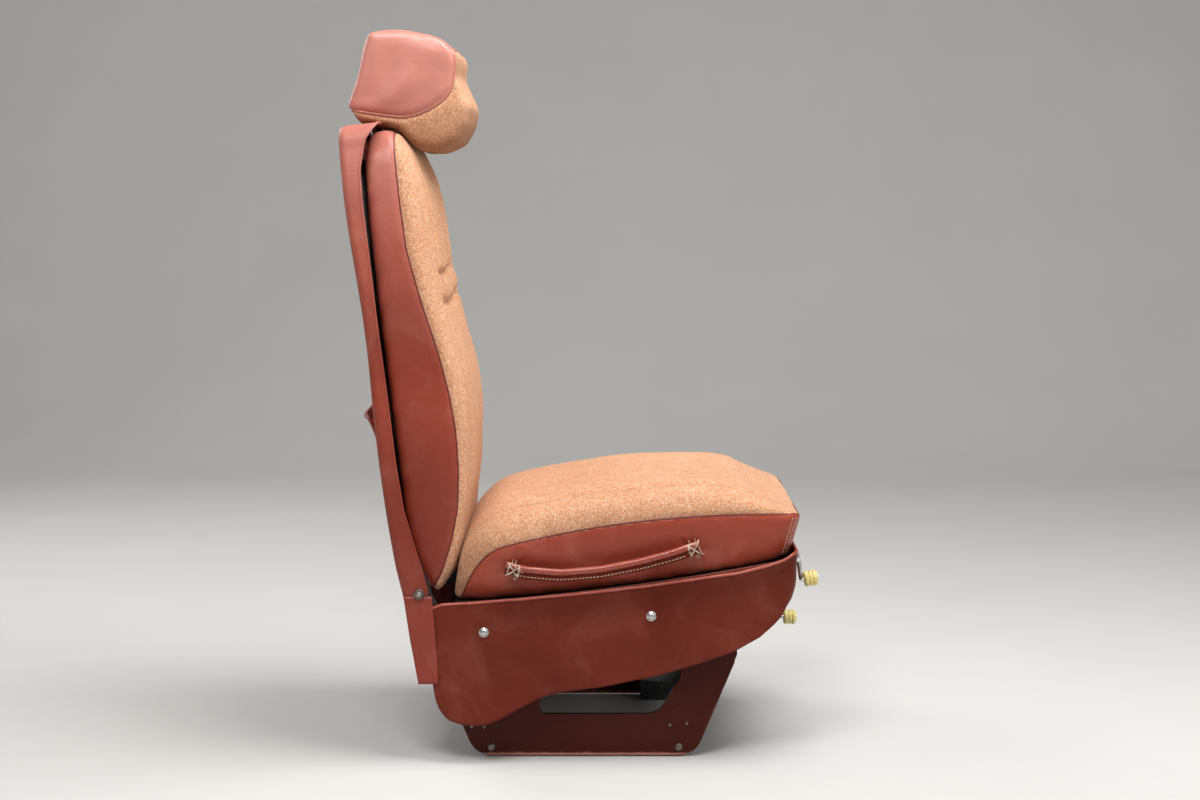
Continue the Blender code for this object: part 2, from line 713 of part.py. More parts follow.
def build_pan():
    """Pan sheet, side rails and cross members."""
    loops = []
    turn = SHEET_TURN_DOWN
    for x in np.linspace(SHEET_REAR, SHEET_FRONT, 9):
        z = seat_line(x)
        half, low = SHEET_HALF, z - turn
        inner, under = SHEET_HALF - SHEET_THICK, z - SHEET_THICK
        loops.append([(x, y, h) for y, h in (
            (-half, low), (-half, z), (half, z), (half, low), (inner, low), (inner, under),
            (-inner, under), (-inner, low))])
    piece("pan_sheet", loft(loops), "black_steel", "pan")
    pivot_hole = circle(RECLINE_PIVOT, PIVOT_BOLT_RADIUS + RUNNING, 16)
    relief = [rounded([(x - 0.035, seat_line(x) - 0.036, 0.008), (x + 0.035, seat_line(x) - 0.030, 0.008),
                       (x + 0.035, seat_line(x) - 0.014, 0.008), (x - 0.035, seat_line(x) - 0.018, 0.008)], 3)
              for x in (-0.13, -0.02, 0.09, 0.20)]
    for side, sign in SIDES:
        low, high = sorted((sign * RAIL_FACE, sign * (RAIL_FACE - RAIL_THICK)))
        piece("pan_rail_" + side, extrusion(rail_outline(), [pivot_hole] + relief, "Y", low, high),
              "black_steel", "pan")
    build_front_member()
    top = bracket_foot(MEMBER_REAR_X)
    outline = rounded([(-MEMBER_HALF, top, 0), (-MEMBER_HALF, top - MEMBER_DEPTH, 0.01),
                       (MEMBER_HALF, top - MEMBER_DEPTH, 0.01), (MEMBER_HALF, top, 0)])
    shaft_z = recline_point(MEMBER_REAR_X)
    hole = circle((RECLINE_Y, shaft_z), SHAFT_RADIUS + 3 * RUNNING, 16)
    piece("pan_rear_member", extrusion(outline, [hole], "X", MEMBER_REAR_X - MEMBER_THICK, MEMBER_REAR_X),
          "black_steel", "pan")


def build_front_member():
    """Cross plate under the front edge, with a tab that hangs round the lift screw."""
    top = bracket_foot(MEMBER_FRONT_X - MEMBER_THICK) - TOUCH
    low = top - MEMBER_DEPTH
    tab_low = nut_height() - 0.016
    outline = rounded([
        (-MEMBER_HALF, top, 0), (-MEMBER_HALF, low, 0.01), (HEIGHT_Y - 0.030, low, 0.01),
        (HEIGHT_Y - 0.016, tab_low, 0.012), (HEIGHT_Y + 0.016, tab_low, 0.012),
        (HEIGHT_Y + 0.030, low, 0.01), (MEMBER_HALF, low, 0.01), (MEMBER_HALF, top, 0)])
    holes = [circle((RECLINE_Y, recline_point(MEMBER_FRONT_X)), SHAFT_RADIUS + 3 * RUNNING, 16),
             circle((HEIGHT_Y, nut_height()), SHAFT_RADIUS + RUNNING, 16)]
    low_x, high_x = MEMBER_FRONT_X - MEMBER_THICK, MEMBER_FRONT_X
    piece("pan_front_member", extrusion(outline, holes, "X", low_x, high_x), "black_steel", "pan")


def recline_point(x):
    """Height of the recline screw's axis at x."""
    nut_at = recline_axes()[2]
    return nut_at[2] + math.tan(RECLINE_SLOPE) * (x - nut_at[0])


def skirt_outline():
    """Side skirt: straight-ish top along the seat, deep bowed lower edge."""
    top = along_seat(0.300, -0.222, 8, SKIRT_LAP)
    lower = smooth_path([
        (-0.234, 0.236), (-0.230, 0.143), (-0.214, 0.087), (-0.187, 0.063), (-0.160, 0.0605),
        (-0.107, 0.082), (-0.038, 0.109), (0.115, 0.135), (0.229, 0.173), (0.285, 0.209),
        (0.312, 0.240), (SKIRT_FRONT_X - 0.003, SKIRT_FRONT_BOTTOM)], 3)
    front = [(SKIRT_FRONT_X - 0.001, seat_line(SKIRT_FRONT_X) + SKIRT_LAP - 0.001)]
    return top + lower + front


def build_skirts():
    """Leather side skirts, the front panel and the rear apron."""
    for side, sign in SIDES:
        low, high = sorted((sign * SKIRT_INNER, sign * (SKIRT_INNER + SKIRT_THICK)))
        piece("skirt_" + side, extrusion(skirt_outline(), [], "Y", low, high), "leather", "pan")
    half = SKIRT_INNER - TOUCH
    rear_x = SKIRT_FRONT_X - SKIRT_THICK
    top = seat_line(SKIRT_FRONT_X) + SKIRT_LAP
    outline = rounded([(-half, SKIRT_FRONT_BOTTOM, SKIRT_CORNER), (half, SKIRT_FRONT_BOTTOM, SKIRT_CORNER),
                       (half, top, 0), (-half, top, 0)])
    hole = circle((RECLINE_Y, recline_point(rear_x)), SHAFT_RADIUS + 0.0015, 16)
    piece("skirt_front", extrusion(outline, [hole], "X", rear_x, SKIRT_FRONT_X), "leather", "pan")
    build_apron()


def build_apron():
    """U-shaped leather apron behind the pan, in the layer outside the skirts."""
    inner = SKIRT_INNER + SKIRT_THICK + TOUCH
    outer = inner + SKIRT_THICK
    loops = []
    for z, rear, front in ((APRON_TOP, APRON_REAR, -0.2235), (0.190, -0.2695, -0.2195),
                           (APRON_BOTTOM, -0.2590, -0.2165)):
        path = [(front, -outer), (rear + 0.02, -outer), (rear, -outer + 0.02), (rear, outer - 0.02),
                (rear + 0.02, outer), (front, outer), (front, inner), (rear + 0.02, inner),
                (rear + SKIRT_THICK, inner - 0.0175), (rear + SKIRT_THICK, 0.0175 - inner),
                (rear + 0.02, -inner), (front, -inner)]
        loops.append([(x, y, z) for x, y in path])
    piece("rear_apron", loft(loops), "leather", "pan")


def seam_height(x):
    """Side seam of the seat cushion: a parabola that peaks near the front."""
    return SEAM_TOP - 0.319 * (x - 0.27) ** 2


def crown_height(x):
    """Top of the seat cushion on its middle line."""
    if x < CROWN_X:
        return CROWN_TOP - 0.48 * (CROWN_X - x) ** 2
    ahead = (x - CROWN_X) / (CUSHION_FRONT - CROWN_X)
    return CROWN_TOP - (CROWN_TOP - SEAM_TOP) * ahead ** 2.1


def cushion_loop(x, count=10):
    """Section of the seat cushion: flat bottom, low sides and a crowned top."""
    base = seat_line(x) + TOUCH
    behind = max(0.0, (-0.125 - x) / (-0.125 - CUSHION_REAR))
    ahead = max(0.0, (x - CUSHION_FRONT + 0.02) / 0.02)
    keep = 0.60 + 0.40 * math.sqrt(max(0.0, 1 - behind ** 2))
    pull = 0.010 * (behind ** 3 + ahead ** 2)
    half = CUSHION_HALF - pull
    seam = base + (seam_height(x) - base) * keep
    crown = base + (crown_height(x) - 0.004 * ahead - base) * keep
    top = []
    for angle in np.linspace(0, math.pi, count + 1):
        rise = math.sin(angle) ** 0.6
        top.append((x, -half * math.cos(angle), seam + (crown - seam) * rise))
    return [(x, -half + 0.0006, base)] + top + [(x, half - 0.0006, base)]


def build_seat_cushion():
    """Crowned cushion with its side straps."""
    stations = list(np.linspace(CUSHION_REAR, -0.125, 5)) + list(np.linspace(-0.09, 0.25, 9))
    stations += [0.275, 0.295, 0.31, CUSHION_FRONT]
    piece("seat_cushion", loft([cushion_loop(x) for x in stations]), "tweed", "pan", smooth=True)
    route = [(-0.117, 0.298), (-0.085, 0.291), (-0.038, 0.286), (0.023, 0.290), (0.084, 0.302),
             (0.130, 0.316), (0.176, 0.332)]
    inner = SKIRT_INNER + SKIRT_THICK + STRAP_STAND
    for side, sign in SIDES:
        loops = []
        for index, (x, z) in enumerate(route):
            at_end = index in (0, len(route) - 1)
            near = CUSHION_HALF + TOUCH if at_end else inner - 0.004
            far = near + STRAP_THICK
            if 0 < index < len(route) - 1:
                near, far = inner - 0.003, inner + STRAP_THICK - 0.003
            loops.append([(x, sign * near, z - STRAP_HALF_WIDTH), (x, sign * far, z - STRAP_HALF_WIDTH + 0.002),
                          (x, sign * far, z + STRAP_HALF_WIDTH - 0.002), (x, sign * near, z + STRAP_HALF_WIDTH)])
        piece("strap_" + side, loft(loops), "leather", "pan")


def cover_rear(s):
    """Rear face of the back cover, bowed out at mid height."""
    return -COVER_REAR + 0.045 * (s - 0.30) ** 2


def cushion_rear(s):
    """Rear face of the back cushion."""
    return -0.0118 + 0.3 * max(0.0, s - 0.55) ** 2 + 1.6 * max(0.0, 0.12 - s) ** 2


def back_front(s):
    """Front of the back cushion on its middle line: lumbar swell, thinner at the top."""
    lumbar = 0.026 * math.exp(-((s - 0.26) / 0.13) ** 2)
    return 0.088 + lumbar - 1.35 * max(0.0, s - 0.53) ** 2 - 0.32 * max(0.0, 0.125 - s)


def back_side(s):
    """Side seam of the back cushion."""
    lumbar = 0.043 * math.exp(-((s - 0.235) / 0.155) ** 2)
    return 0.040 + lumbar - 1.4 * max(0.0, 0.06 - s) ** 2


def back_half(s):
    """Half width of the back cushion, narrower towards the top."""
    return BACK_HALF - (BACK_HALF - BACK_TOP_HALF) * max(0.0, (s - 0.42) / (BACK_HEIGHT - 0.42)) ** 2


def back_loop(s, count=10):
    """Level section of the back cushion in the back's frame."""
    near_top = max(0.0, (s - BACK_HEIGHT + 0.04) / 0.04)
    rear = cushion_rear(s)
    half = back_half(s) - 0.012 * near_top ** 2
    side = back_side(s) - 0.008 * near_top ** 2
    crown = max(side + 0.004, back_front(s) - 0.022 * near_top ** 2)
    front = []
    for angle in np.linspace(0, math.pi, count + 1):
        front.append((side + (crown - side) * math.sin(angle) ** 0.6, -half * math.cos(angle), s))
    return [(rear, -half + 0.004, s)] + front + [(rear, half - 0.004, s)]


def build_back_frame():
    """Tube hoop, lower tube, hinge plates and pivot bolts."""
    low, high = LOWER_TUBE_S - 0.020, HOOP_TOP
    corners = [
        (-HOOP_REAR, -HOOP_HALF, low), (-HOOP_REAR, -HOOP_HALF, 0.42),
        (-HOOP_REAR + 0.0025, -HOOP_TOP_HALF - 0.02, high), (-HOOP_REAR + 0.0025, HOOP_TOP_HALF + 0.02, high),
        (-HOOP_REAR, HOOP_HALF, 0.42), (-HOOP_REAR, HOOP_HALF, low)]
    piece("back_hoop", rod(bend_points(corners, 0.055), HOOP_RADIUS), "black_steel", "back", smooth=True)
    reach = HOOP_HALF - HOOP_RADIUS - TOUCH
    tube = cylinder((-HOOP_REAR, -reach, LOWER_TUBE_S), (-HOOP_REAR, reach, LOWER_TUBE_S), LOWER_TUBE_RADIUS)
    piece("back_lower_tube", tube, "black_steel", "back", adds=[recline_lever()], smooth=True)
    inner = HOOP_HALF + HOOP_RADIUS + TOUCH
    outer = inner + HINGE_PLATE
    outline = bar_outline((0.0, 0.0), 0.018, (-HOOP_REAR + 0.002, 0.105), 0.011)
    hole = circle((0, 0), PIVOT_BOLT_RADIUS + RUNNING, 16)
    for side, sign in SIDES:
        near, far = sorted((sign * inner, sign * outer))
        piece("back_hinge_plate_" + side, extrusion(outline, [hole], "Y", near, far), "black_steel", "back")
        head = COVER_HALF + TOUCH
        bolt = turned([
            (0, inner - 0.002), (PIVOT_BOLT_RADIUS, inner - 0.002), (PIVOT_BOLT_RADIUS, head),
            (0.0078, head), (0.0078, head + 0.0015), (0.0055, head + 0.0015), (0.0050, head + 0.004),
            (0, head + 0.004)], across(RECLINE_PIVOT, 0), (0, sign, 0), 16)
        piece("back_pivot_bolt_" + side, bolt, "steel", "pan", smooth=True)


def cover_loop(s):
    """Level section of the back cover: a shallow U open to the front."""
    taper = max(0.0, (s - 0.42) / (COVER_TOP - 0.42)) ** 2
    outer = COVER_HALF - (COVER_HALF - COVER_TOP_HALF) * taper
    lip = -0.016 + 1.0 * max(0.0, s - 0.62) ** 2
    rear, wall = cover_rear(s), COVER_WALL
    bend = 0.014
    near = outer - wall
    return [(n, y, s) for n, y in (
        (lip, -outer), (rear + bend, -outer), (rear + 0.004, 0.004 - outer), (rear, bend - outer),
        (rear, outer - bend), (rear + 0.004, outer - 0.004), (rear + bend, outer), (lip, outer),
        (lip, near), (rear + bend, near), (rear + wall + 0.003, near - 0.003), (rear + wall, near - bend + wall),
        (rear + wall, wall - near + bend - wall * 2), (rear + wall + 0.003, 0.003 - near),
        (rear + bend, -near), (lip, -near))]


def build_cover():
    """Back cover with its pivot ears, and the map pocket on its rear."""
    stations = [COVER_LOW, 0.015] + list(np.linspace(0.050, 0.42, 6)) + list(np.linspace(0.47, COVER_TOP - 0.004, 8))
    ear = bar_outline((0.0, 0.0), 0.017, (-0.018, 0.100), 0.008)
    hole = circle((0, 0), PIVOT_BOLT_RADIUS + RUNNING, 16)
    ears = []
    for side, sign in SIDES:
        low, high = sorted((sign * COVER_HALF, sign * (COVER_HALF - COVER_WALL)))
        ears.append(extrusion(ear, [hole], "Y", low, high))
    half = COVER_TOP_HALF - 0.001
    rear = cover_rear(COVER_TOP)
    top = extrusion([(rear + 0.0005, -half), (0.020, -half + 0.01), (0.020, half - 0.01), (rear + 0.0005, half)],
                    [], "Z", COVER_TOP - 0.005, COVER_TOP - 0.003)
    slots = [cylinder((POST_N, sign * POST_HALF_GAP, COVER_TOP - 0.02),
                      (POST_N, sign * POST_HALF_GAP, COVER_TOP + 0.02), GUIDE_RADIUS + TOUCH) for sign in (-1, 1)]
    piece("back_cover", loft([cover_loop(s) for s in stations]), "leather", "back", adds=ears + [top], cuts=slots)
    gap = TOUCH
    rows = [(cover_rear(s) - gap, s) for s in np.linspace(POCKET_BOTTOM, POCKET_TOP, 5)]
    outer = rows + [(rows[-1][0] - POCKET_DEPTH, POCKET_TOP), (rows[0][0] - 0.004, POCKET_BOTTOM)]
    inner_low = POCKET_BOTTOM + 0.006
    hollow = [(0.0, inner_low), (0.0, POCKET_TOP + 0.01), (rows[-1][0] - POCKET_DEPTH + POCKET_WALL, POCKET_TOP + 0.01),
              (rows[-1][0] - POCKET_DEPTH + POCKET_WALL, POCKET_TOP), (rows[0][0] - 0.004 + POCKET_WALL, inner_low)]
    cutter = extrusion(hollow, [], "Y", POCKET_WALL - POCKET_HALF, POCKET_HALF - POCKET_WALL)
    piece("map_pocket", extrusion(outer, [], "Y", -POCKET_HALF, POCKET_HALF), "leather", "back", cuts=[cutter])


def build_back_cushion():
    """Back cushion with grooves for the headrest guides, and the guides."""
    low_stations = [0.004, 0.02, 0.045, 0.08, 0.12, 0.17, 0.22, 0.28, 0.34]
    top_stations = [BACK_HEIGHT - drop for drop in (0.0495, 0.0245, 0.0095, 0.0)]
    stations = low_stations + list(np.linspace(0.41, BACK_HEIGHT - 0.0945, 4)) + top_stations
    grooves = []
    for side, sign in SIDES:
        low = (POST_N, sign * POST_HALF_GAP, GUIDE_LOW)
        high = (POST_N, sign * POST_HALF_GAP, GUIDE_TOP)
        grooves.append(cylinder((low[0], low[1], POST_LOW - 0.03), (low[0], low[1], COVER_TOP + 0.02),
                                GUIDE_RADIUS + 2 * TOUCH))
        grooves.append(extrusion([(-0.03, low[1] - GUIDE_RADIUS), (POST_N, low[1] - GUIDE_RADIUS),
                                  (POST_N, low[1] + GUIDE_RADIUS), (-0.03, low[1] + GUIDE_RADIUS)], [], "Z",
                                 POST_LOW - 0.03, COVER_TOP + 0.02))
        piece("headrest_guide_" + side, sleeve(low, high, GUIDE_RADIUS, POST_RADIUS + RUNNING),
              "black_steel", "back", smooth=True)
    piece("back_cushion", loft([back_loop(s) for s in stations]), "tweed", "back", cuts=grooves, smooth=True)


def build_headrest():
    """Headrest pad lofted across the seat, round the top of its bent rod frame."""
    outline = smooth_loop([
        (0.0168, 0.8570), (0.0664, 0.8515), (0.1112, 0.8398), (0.1460, 0.8180), (0.1567, 0.7892),
        (0.1618, 0.7464), (0.1690, 0.7213), (0.1600, 0.6900), (0.1397, 0.6704), (0.1080, 0.6650),
        (0.0840, 0.6780), (0.0640, 0.7060), (0.0400, 0.7260), (0.0000, 0.7320), (-0.0240, 0.7400),
        (-0.0240, 0.7560), (-0.0108, 0.7855), (0.0010, 0.8350)], 2)
    middle = (0.072, 0.768)
    loops = []
    for share in (-1.0, -0.95, -0.80, -0.4, 0.4, 0.80, 0.95, 1.0):
        size = 1.0 - 0.10 * abs(share) ** 10 - 0.02 * share * share
        loops.append([(middle[0] + (n - middle[0]) * size, share * HEAD_HALF, middle[1] + (s - middle[1]) * size)
                      for n, s in outline])
    corners = [(POST_N, -POST_HALF_GAP, POST_LOW), (POST_N, -POST_HALF_GAP, POST_TOP),
               (POST_N, POST_HALF_GAP, POST_TOP), (POST_N, POST_HALF_GAP, POST_LOW)]
    path = bend_points(corners, 0.018)
    piece("headrest_frame", rod(path, POST_RADIUS), "chrome", "headrest", smooth=True)
    socket = rod(path, POST_RADIUS + TOUCH)
    piece("headrest_pad", loft(loops), "leather", "headrest", cuts=[socket], smooth=True)


def slot_outline(centre, heading, half_length, half_width):
    """Straight slot with round ends."""
    step = np.array((math.cos(heading), math.sin(heading))) * half_length
    first, second = np.array(centre) - step, np.array(centre) + step
    return bar_outline(tuple(first), half_width, tuple(second), half_width, 6)


def crank(name, hub, axis, down, y, throw):
    """Crank arm on a shaft's end, and a grooved knob that spins on it."""
    axis, down = np.array(axis), np.array(down)
    hub = np.array((hub[0], y, hub[1]))
    knob_at = hub + down * throw + axis * KNOB_STAND
    start = hub - axis * 0.0015
    path = bend_points([start, hub + axis * 0.0022, hub + down * throw + axis * 0.0022,
                        knob_at + axis * (KNOB_LENGTH + 0.001)], 0.0025, 3)
    boss = cylinder(hub - axis * CRANK_HUB_BACK, hub + axis * 0.0045, CRANK_HUB_RADIUS)
    piece(name + "_crank_arm", rod(path, CRANK_ROD), "chrome", name + "_crank", adds=[boss], smooth=True)
    make_body(name + "_knob", knob_at, name + "_crank")
    bore = CRANK_ROD + RUNNING
    profile = [(bore, 0), (KNOB_RADIUS - 0.003, 0), (KNOB_RADIUS, 0.003)]
    pitch = (KNOB_LENGTH - 0.010) / KNOB_GROOVES
    for groove in range(KNOB_GROOVES):
        middle = 0.005 + pitch * (groove + 0.5)
        profile += [(KNOB_RADIUS, middle - 0.0018), (KNOB_RADIUS - 0.0014, middle), (KNOB_RADIUS, middle + 0.0018)]
    profile += [(KNOB_RADIUS, KNOB_LENGTH - 0.004), (KNOB_RADIUS - 0.004, KNOB_LENGTH), (bore, KNOB_LENGTH)]
    piece(name + "_knob", turned(profile, knob_at, axis, 24), "ivory", name + "_knob", smooth=True)


def screw_nut(name, centre, axis, body):
    """Square nut with its bore along the screw and a trunnion towards the middle."""
    axis = np.array(axis)
    up = np.cross(axis, (0, 1, 0))
    inward = -math.copysign(1.0, centre[1])
    shape = Shape()
    rings = []
    for reach in (-NUT_HALF, NUT_HALF):
        middle = np.array(centre) + axis * reach
        square = [middle + up * a * NUT_HALF + np.array((0, b * NUT_HALF, 0))
                  for a, b in ((-1, -1), (1, -1), (1, 1), (-1, 1))]
        turns = np.arange(16) * math.pi / 8
        bore = [middle + (SHAFT_RADIUS + RUNNING) * (up * math.cos(a) + np.array((0, math.sin(a), 0)))
                for a in turns]
        rings.append((shape.ring([tuple(p) for p in square]), shape.ring([tuple(p) for p in bore])))
    for first, second in zip(*rings):
        shape.band(first, second)
    for square, bore in rings:
        shape.cap(square, bore)
    start = (centre[0], centre[1] + inward * (NUT_HALF - 0.002), centre[2])
    end = (centre[0], centre[1] + inward * (NUT_HALF + TRUNNION_LENGTH), centre[2])
    piece(name, shape, "brass", body, adds=[cylinder(start, end, TRUNNION_RADIUS)])


def recline_axes():
    """Unit vectors along the recline screw and down across it, and the nut's rest place."""
    axis = np.array((math.cos(RECLINE_SLOPE), 0, math.sin(RECLINE_SLOPE)))
    down = np.array((axis[2], 0, -axis[0]))
    pivot = np.array((RECLINE_PIVOT[0], RECLINE_Y, RECLINE_PIVOT[1]))
    travel = RECLINE_LEVER * math.tan(RECLINE_RANGE / 2)
    return axis, down, pivot + down * RECLINE_LEVER - axis * travel


def recline_lever():
    """Fork lever welded to the back's lower tube; its slot points at the recline pivot."""
    nut_at = recline_axes()[2]
    x, z = nut_at[0] - RECLINE_PIVOT[0], nut_at[2] - RECLINE_PIVOT[1]
    n = x * math.cos(BACK_TILT) + z * math.sin(BACK_TILT)
    s = -x * math.sin(BACK_TILT) + z * math.cos(BACK_TILT)
    slot = slot_outline((n, s), math.atan2(s, n), 0.004, TRUNNION_RADIUS + FORK_PLAY)
    outline = bar_outline((-HOOP_REAR, LOWER_TUBE_S), LOWER_TUBE_RADIUS + 0.002, (n, s - 0.001), 0.012)
    near = RECLINE_Y + NUT_HALF + 0.002
    return extrusion(outline, [slot], "Y", near, near + LEVER_THICK)


def build_recline_drive():
    """Recline screw, crank and nut."""
    axis, down, nut_at = recline_axes()
    length = (RECLINE_HUB_X - nut_at[0]) / axis[0]
    hub = nut_at + axis * length
    make_body("recline_crank", tuple(hub), "pan")
    end = nut_at - axis * (NUT_HALF + 0.006)
    piece("recline_shaft", cylinder(end, hub - axis * (CRANK_HUB_BACK + TOUCH), SHAFT_RADIUS), "steel",
          "recline_crank", smooth=True)
    crank("recline", (hub[0], hub[2]), axis, down, RECLINE_Y, RECLINE_THROW)
    make_body("recline_nut", tuple(nut_at), "pan")
    screw_nut("recline_nut", tuple(nut_at), axis, "recline_nut")


def height_nut_x():
    """Rest place of the lift nut: the rear end of its travel."""
    return link_head(FRONT_PIVOT)[0] - HEIGHT_LEVER * math.tan(LIFT_RANGE / 2)


def height_lever():
    """Fork lever on the front link's torque tube; its slot points at the tube."""
    head = link_head(FRONT_PIVOT)
    nut_x, z = height_nut_x(), nut_height()
    heading = math.atan2(z - head[1], nut_x - head[0])
    slot = slot_outline((nut_x, z), heading, 0.005, TRUNNION_RADIUS + FORK_PLAY)
    outline = bar_outline(head, 0.015, (nut_x, z), 0.012)
    far = HEIGHT_Y - NUT_HALF - 0.002
    return extrusion(outline, [slot], "Y", far - LEVER_THICK, far)


def build_height_drive():
    """Lift screw, crank and nut."""
    z = nut_height()
    axis, down = np.array((1.0, 0, 0)), np.array((0, 0, -1.0))
    make_body("height_crank", (HEIGHT_HUB_X, HEIGHT_Y, z), "pan")
    nut_x = height_nut_x()
    start = (nut_x - NUT_HALF - 0.010, HEIGHT_Y, z)
    piece("height_shaft", cylinder(start, (HEIGHT_HUB_X - CRANK_HUB_BACK - TOUCH, HEIGHT_Y, z), SHAFT_RADIUS),
          "steel", "height_crank", smooth=True)
    crank("height", (HEIGHT_HUB_X, z), axis, down, HEIGHT_Y, HEIGHT_THROW)
    make_body("height_nut", (nut_x, HEIGHT_Y, z), "pan")
    screw_nut("height_nut", (nut_x, HEIGHT_Y, z), axis, "height_nut")


def clear_scene():
    """Remove what is in the file."""
    for item in list(bpy.data.objects):
        bpy.data.objects.remove(item, do_unlink=True)


def build():
    """Make the whole seat."""
    clear_scene()
    build_base_panels()
    build_ties()
    build_feet()
    build_lift()
    make_body("back", across(RECLINE_PIVOT, 0), "pan", BACK_TILT)
    make_body("headrest", (0, 0, 0), "back")
    build_pan()
    build_skirts()
    build_seat_cushion()
    build_back_frame()
    build_cover()
    build_back_cushion()
    build_headrest()
    build_recline_drive()
    build_height_drive()


build()
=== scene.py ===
"""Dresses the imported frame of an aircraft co-pilot seat: upholstery, leather trim, stitching, finishes and a stage."""
import math

import bmesh
import bpy
import numpy as np
from mathutils.bvhtree import BVHTree
from bpy.props import FloatProperty, FloatVectorProperty, IntProperty, PointerProperty
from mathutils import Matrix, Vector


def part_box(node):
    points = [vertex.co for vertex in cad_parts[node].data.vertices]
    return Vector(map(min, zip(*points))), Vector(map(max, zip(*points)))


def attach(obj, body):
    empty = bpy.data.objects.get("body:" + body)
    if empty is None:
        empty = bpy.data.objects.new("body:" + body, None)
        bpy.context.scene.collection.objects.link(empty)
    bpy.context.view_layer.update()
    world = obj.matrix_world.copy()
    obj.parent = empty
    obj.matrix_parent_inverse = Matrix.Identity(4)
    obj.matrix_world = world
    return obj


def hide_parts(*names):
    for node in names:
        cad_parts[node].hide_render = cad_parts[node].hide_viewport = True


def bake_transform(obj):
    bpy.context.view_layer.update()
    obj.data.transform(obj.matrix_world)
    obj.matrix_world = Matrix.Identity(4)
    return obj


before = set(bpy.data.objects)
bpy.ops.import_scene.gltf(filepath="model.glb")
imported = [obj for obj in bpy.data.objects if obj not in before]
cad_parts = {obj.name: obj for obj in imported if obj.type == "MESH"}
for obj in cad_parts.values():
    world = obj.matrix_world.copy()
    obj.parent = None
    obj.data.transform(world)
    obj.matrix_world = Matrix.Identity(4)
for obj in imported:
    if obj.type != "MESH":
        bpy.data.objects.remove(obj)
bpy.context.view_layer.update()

bl_info = {
    "name": "Cockpit seat dressing",
    "version": (1, 0, 0),
    "blender": (4, 5, 0),
    "location": "View3D > Sidebar > Seat",
    "description": "Builds the upholstery, trim, finishes and stage of a cockpit seat round its packed frame",
    "category": "Object",
}

# The back leans about its pivot: s runs up it and n forward of it, both from the pivot bolt.
PIVOT_X, PIVOT_Z = -0.252, 0.261
LEAN = math.radians(6.6)
SIDES = (("right", -1.0), ("left", 1.0))

# Outlines measured along the seat: x, height.
SKIRT_TOP = ((-0.236, 0.2360), (-0.232, 0.2380), (-0.226, 0.2415), (-0.217, 0.2438), (-0.175, 0.2460),
             (-0.099, 0.2520), (-0.007, 0.2608), (0.084, 0.2710), (0.175, 0.2840), (0.236, 0.2930),
             (0.281, 0.3045), (0.303, 0.3125), (0.318, 0.3215), (0.330, 0.3240))
SKIRT_BOTTOM = ((-0.236, 0.160), (-0.2330, 0.130), (-0.2305, 0.107), (-0.2270, 0.0925), (-0.2200, 0.0790),
                (-0.2085, 0.0675), (-0.1900, 0.0612), (-0.1690, 0.0598), (-0.1500, 0.0615), (-0.1300, 0.0690),
                (-0.1070, 0.0815), (-0.0690, 0.1005), (-0.0380, 0.1090), (0.0230, 0.1170), (0.1150, 0.1350),
                (0.1760, 0.1540), (0.2290, 0.1730), (0.2670, 0.1940), (0.2970, 0.2210), (0.3100, 0.2365),
                (0.3240, 0.2520), (0.3400, 0.2540))
STRAP_ROUTE = ((-0.122, 0.2985), (-0.106, 0.2945), (-0.085, 0.2915), (-0.038, 0.2875), (0.023, 0.2925),
               (0.084, 0.3045), (0.130, 0.3170), (0.158, 0.3255), (0.174, 0.3300))
# Outlines measured on the back: s, n.
BACK_FRONT = ((-0.012, 0.022), (-0.003, 0.037), (0.010, 0.051), (0.033, 0.067), (0.075, 0.0760), (0.112, 0.0815),
              (0.131, 0.0880), (0.179, 0.0980), (0.2275, 0.1060), (0.277, 0.1080), (0.3255, 0.1055), (0.384, 0.0965),
              (0.428, 0.0890), (0.478, 0.0855), (0.522, 0.0870), (0.571, 0.0845), (0.620, 0.0780), (0.670, 0.0620),
              (0.695, 0.0500), (0.710, 0.0390))
BACK_SEAM = ((-0.020, 0.0100), (-0.004, 0.0150), (0.020, 0.0330), (0.065, 0.0540), (0.118, 0.0710), (0.179, 0.0800),
             (0.240, 0.0830), (0.302, 0.0790), (0.364, 0.0700), (0.443, 0.0540), (0.520, 0.0420), (0.595, 0.0397),
             (0.656, 0.0396), (0.698, 0.0405), (0.711, 0.0330), (0.730, 0.0200))
COVER_REAR = ((-0.020, -0.0240), (-0.007, -0.0250), (0.041, -0.0315), (0.118, -0.0355), (0.200, -0.0372),
              (0.290, -0.0360), (0.360, -0.0335), (0.430, -0.0335), (0.490, -0.0362), (0.550, -0.0395),
              (0.610, -0.0415), (0.670, -0.0412), (0.708, -0.0400), (0.730, -0.0395))
COVER_LIP = ((-0.020, 0.0150), (-0.012, 0.0140), (0.029, 0.0090), (0.060, 0.0030), (0.085, -0.0015),
             (0.130, -0.0085), (0.200, -0.0115), (0.310, -0.0120), (0.450, -0.0130), (0.600, -0.0140),
             (0.647, -0.0125), (0.691, -0.0010), (0.7075, 0.0120), (0.716, 0.0220))
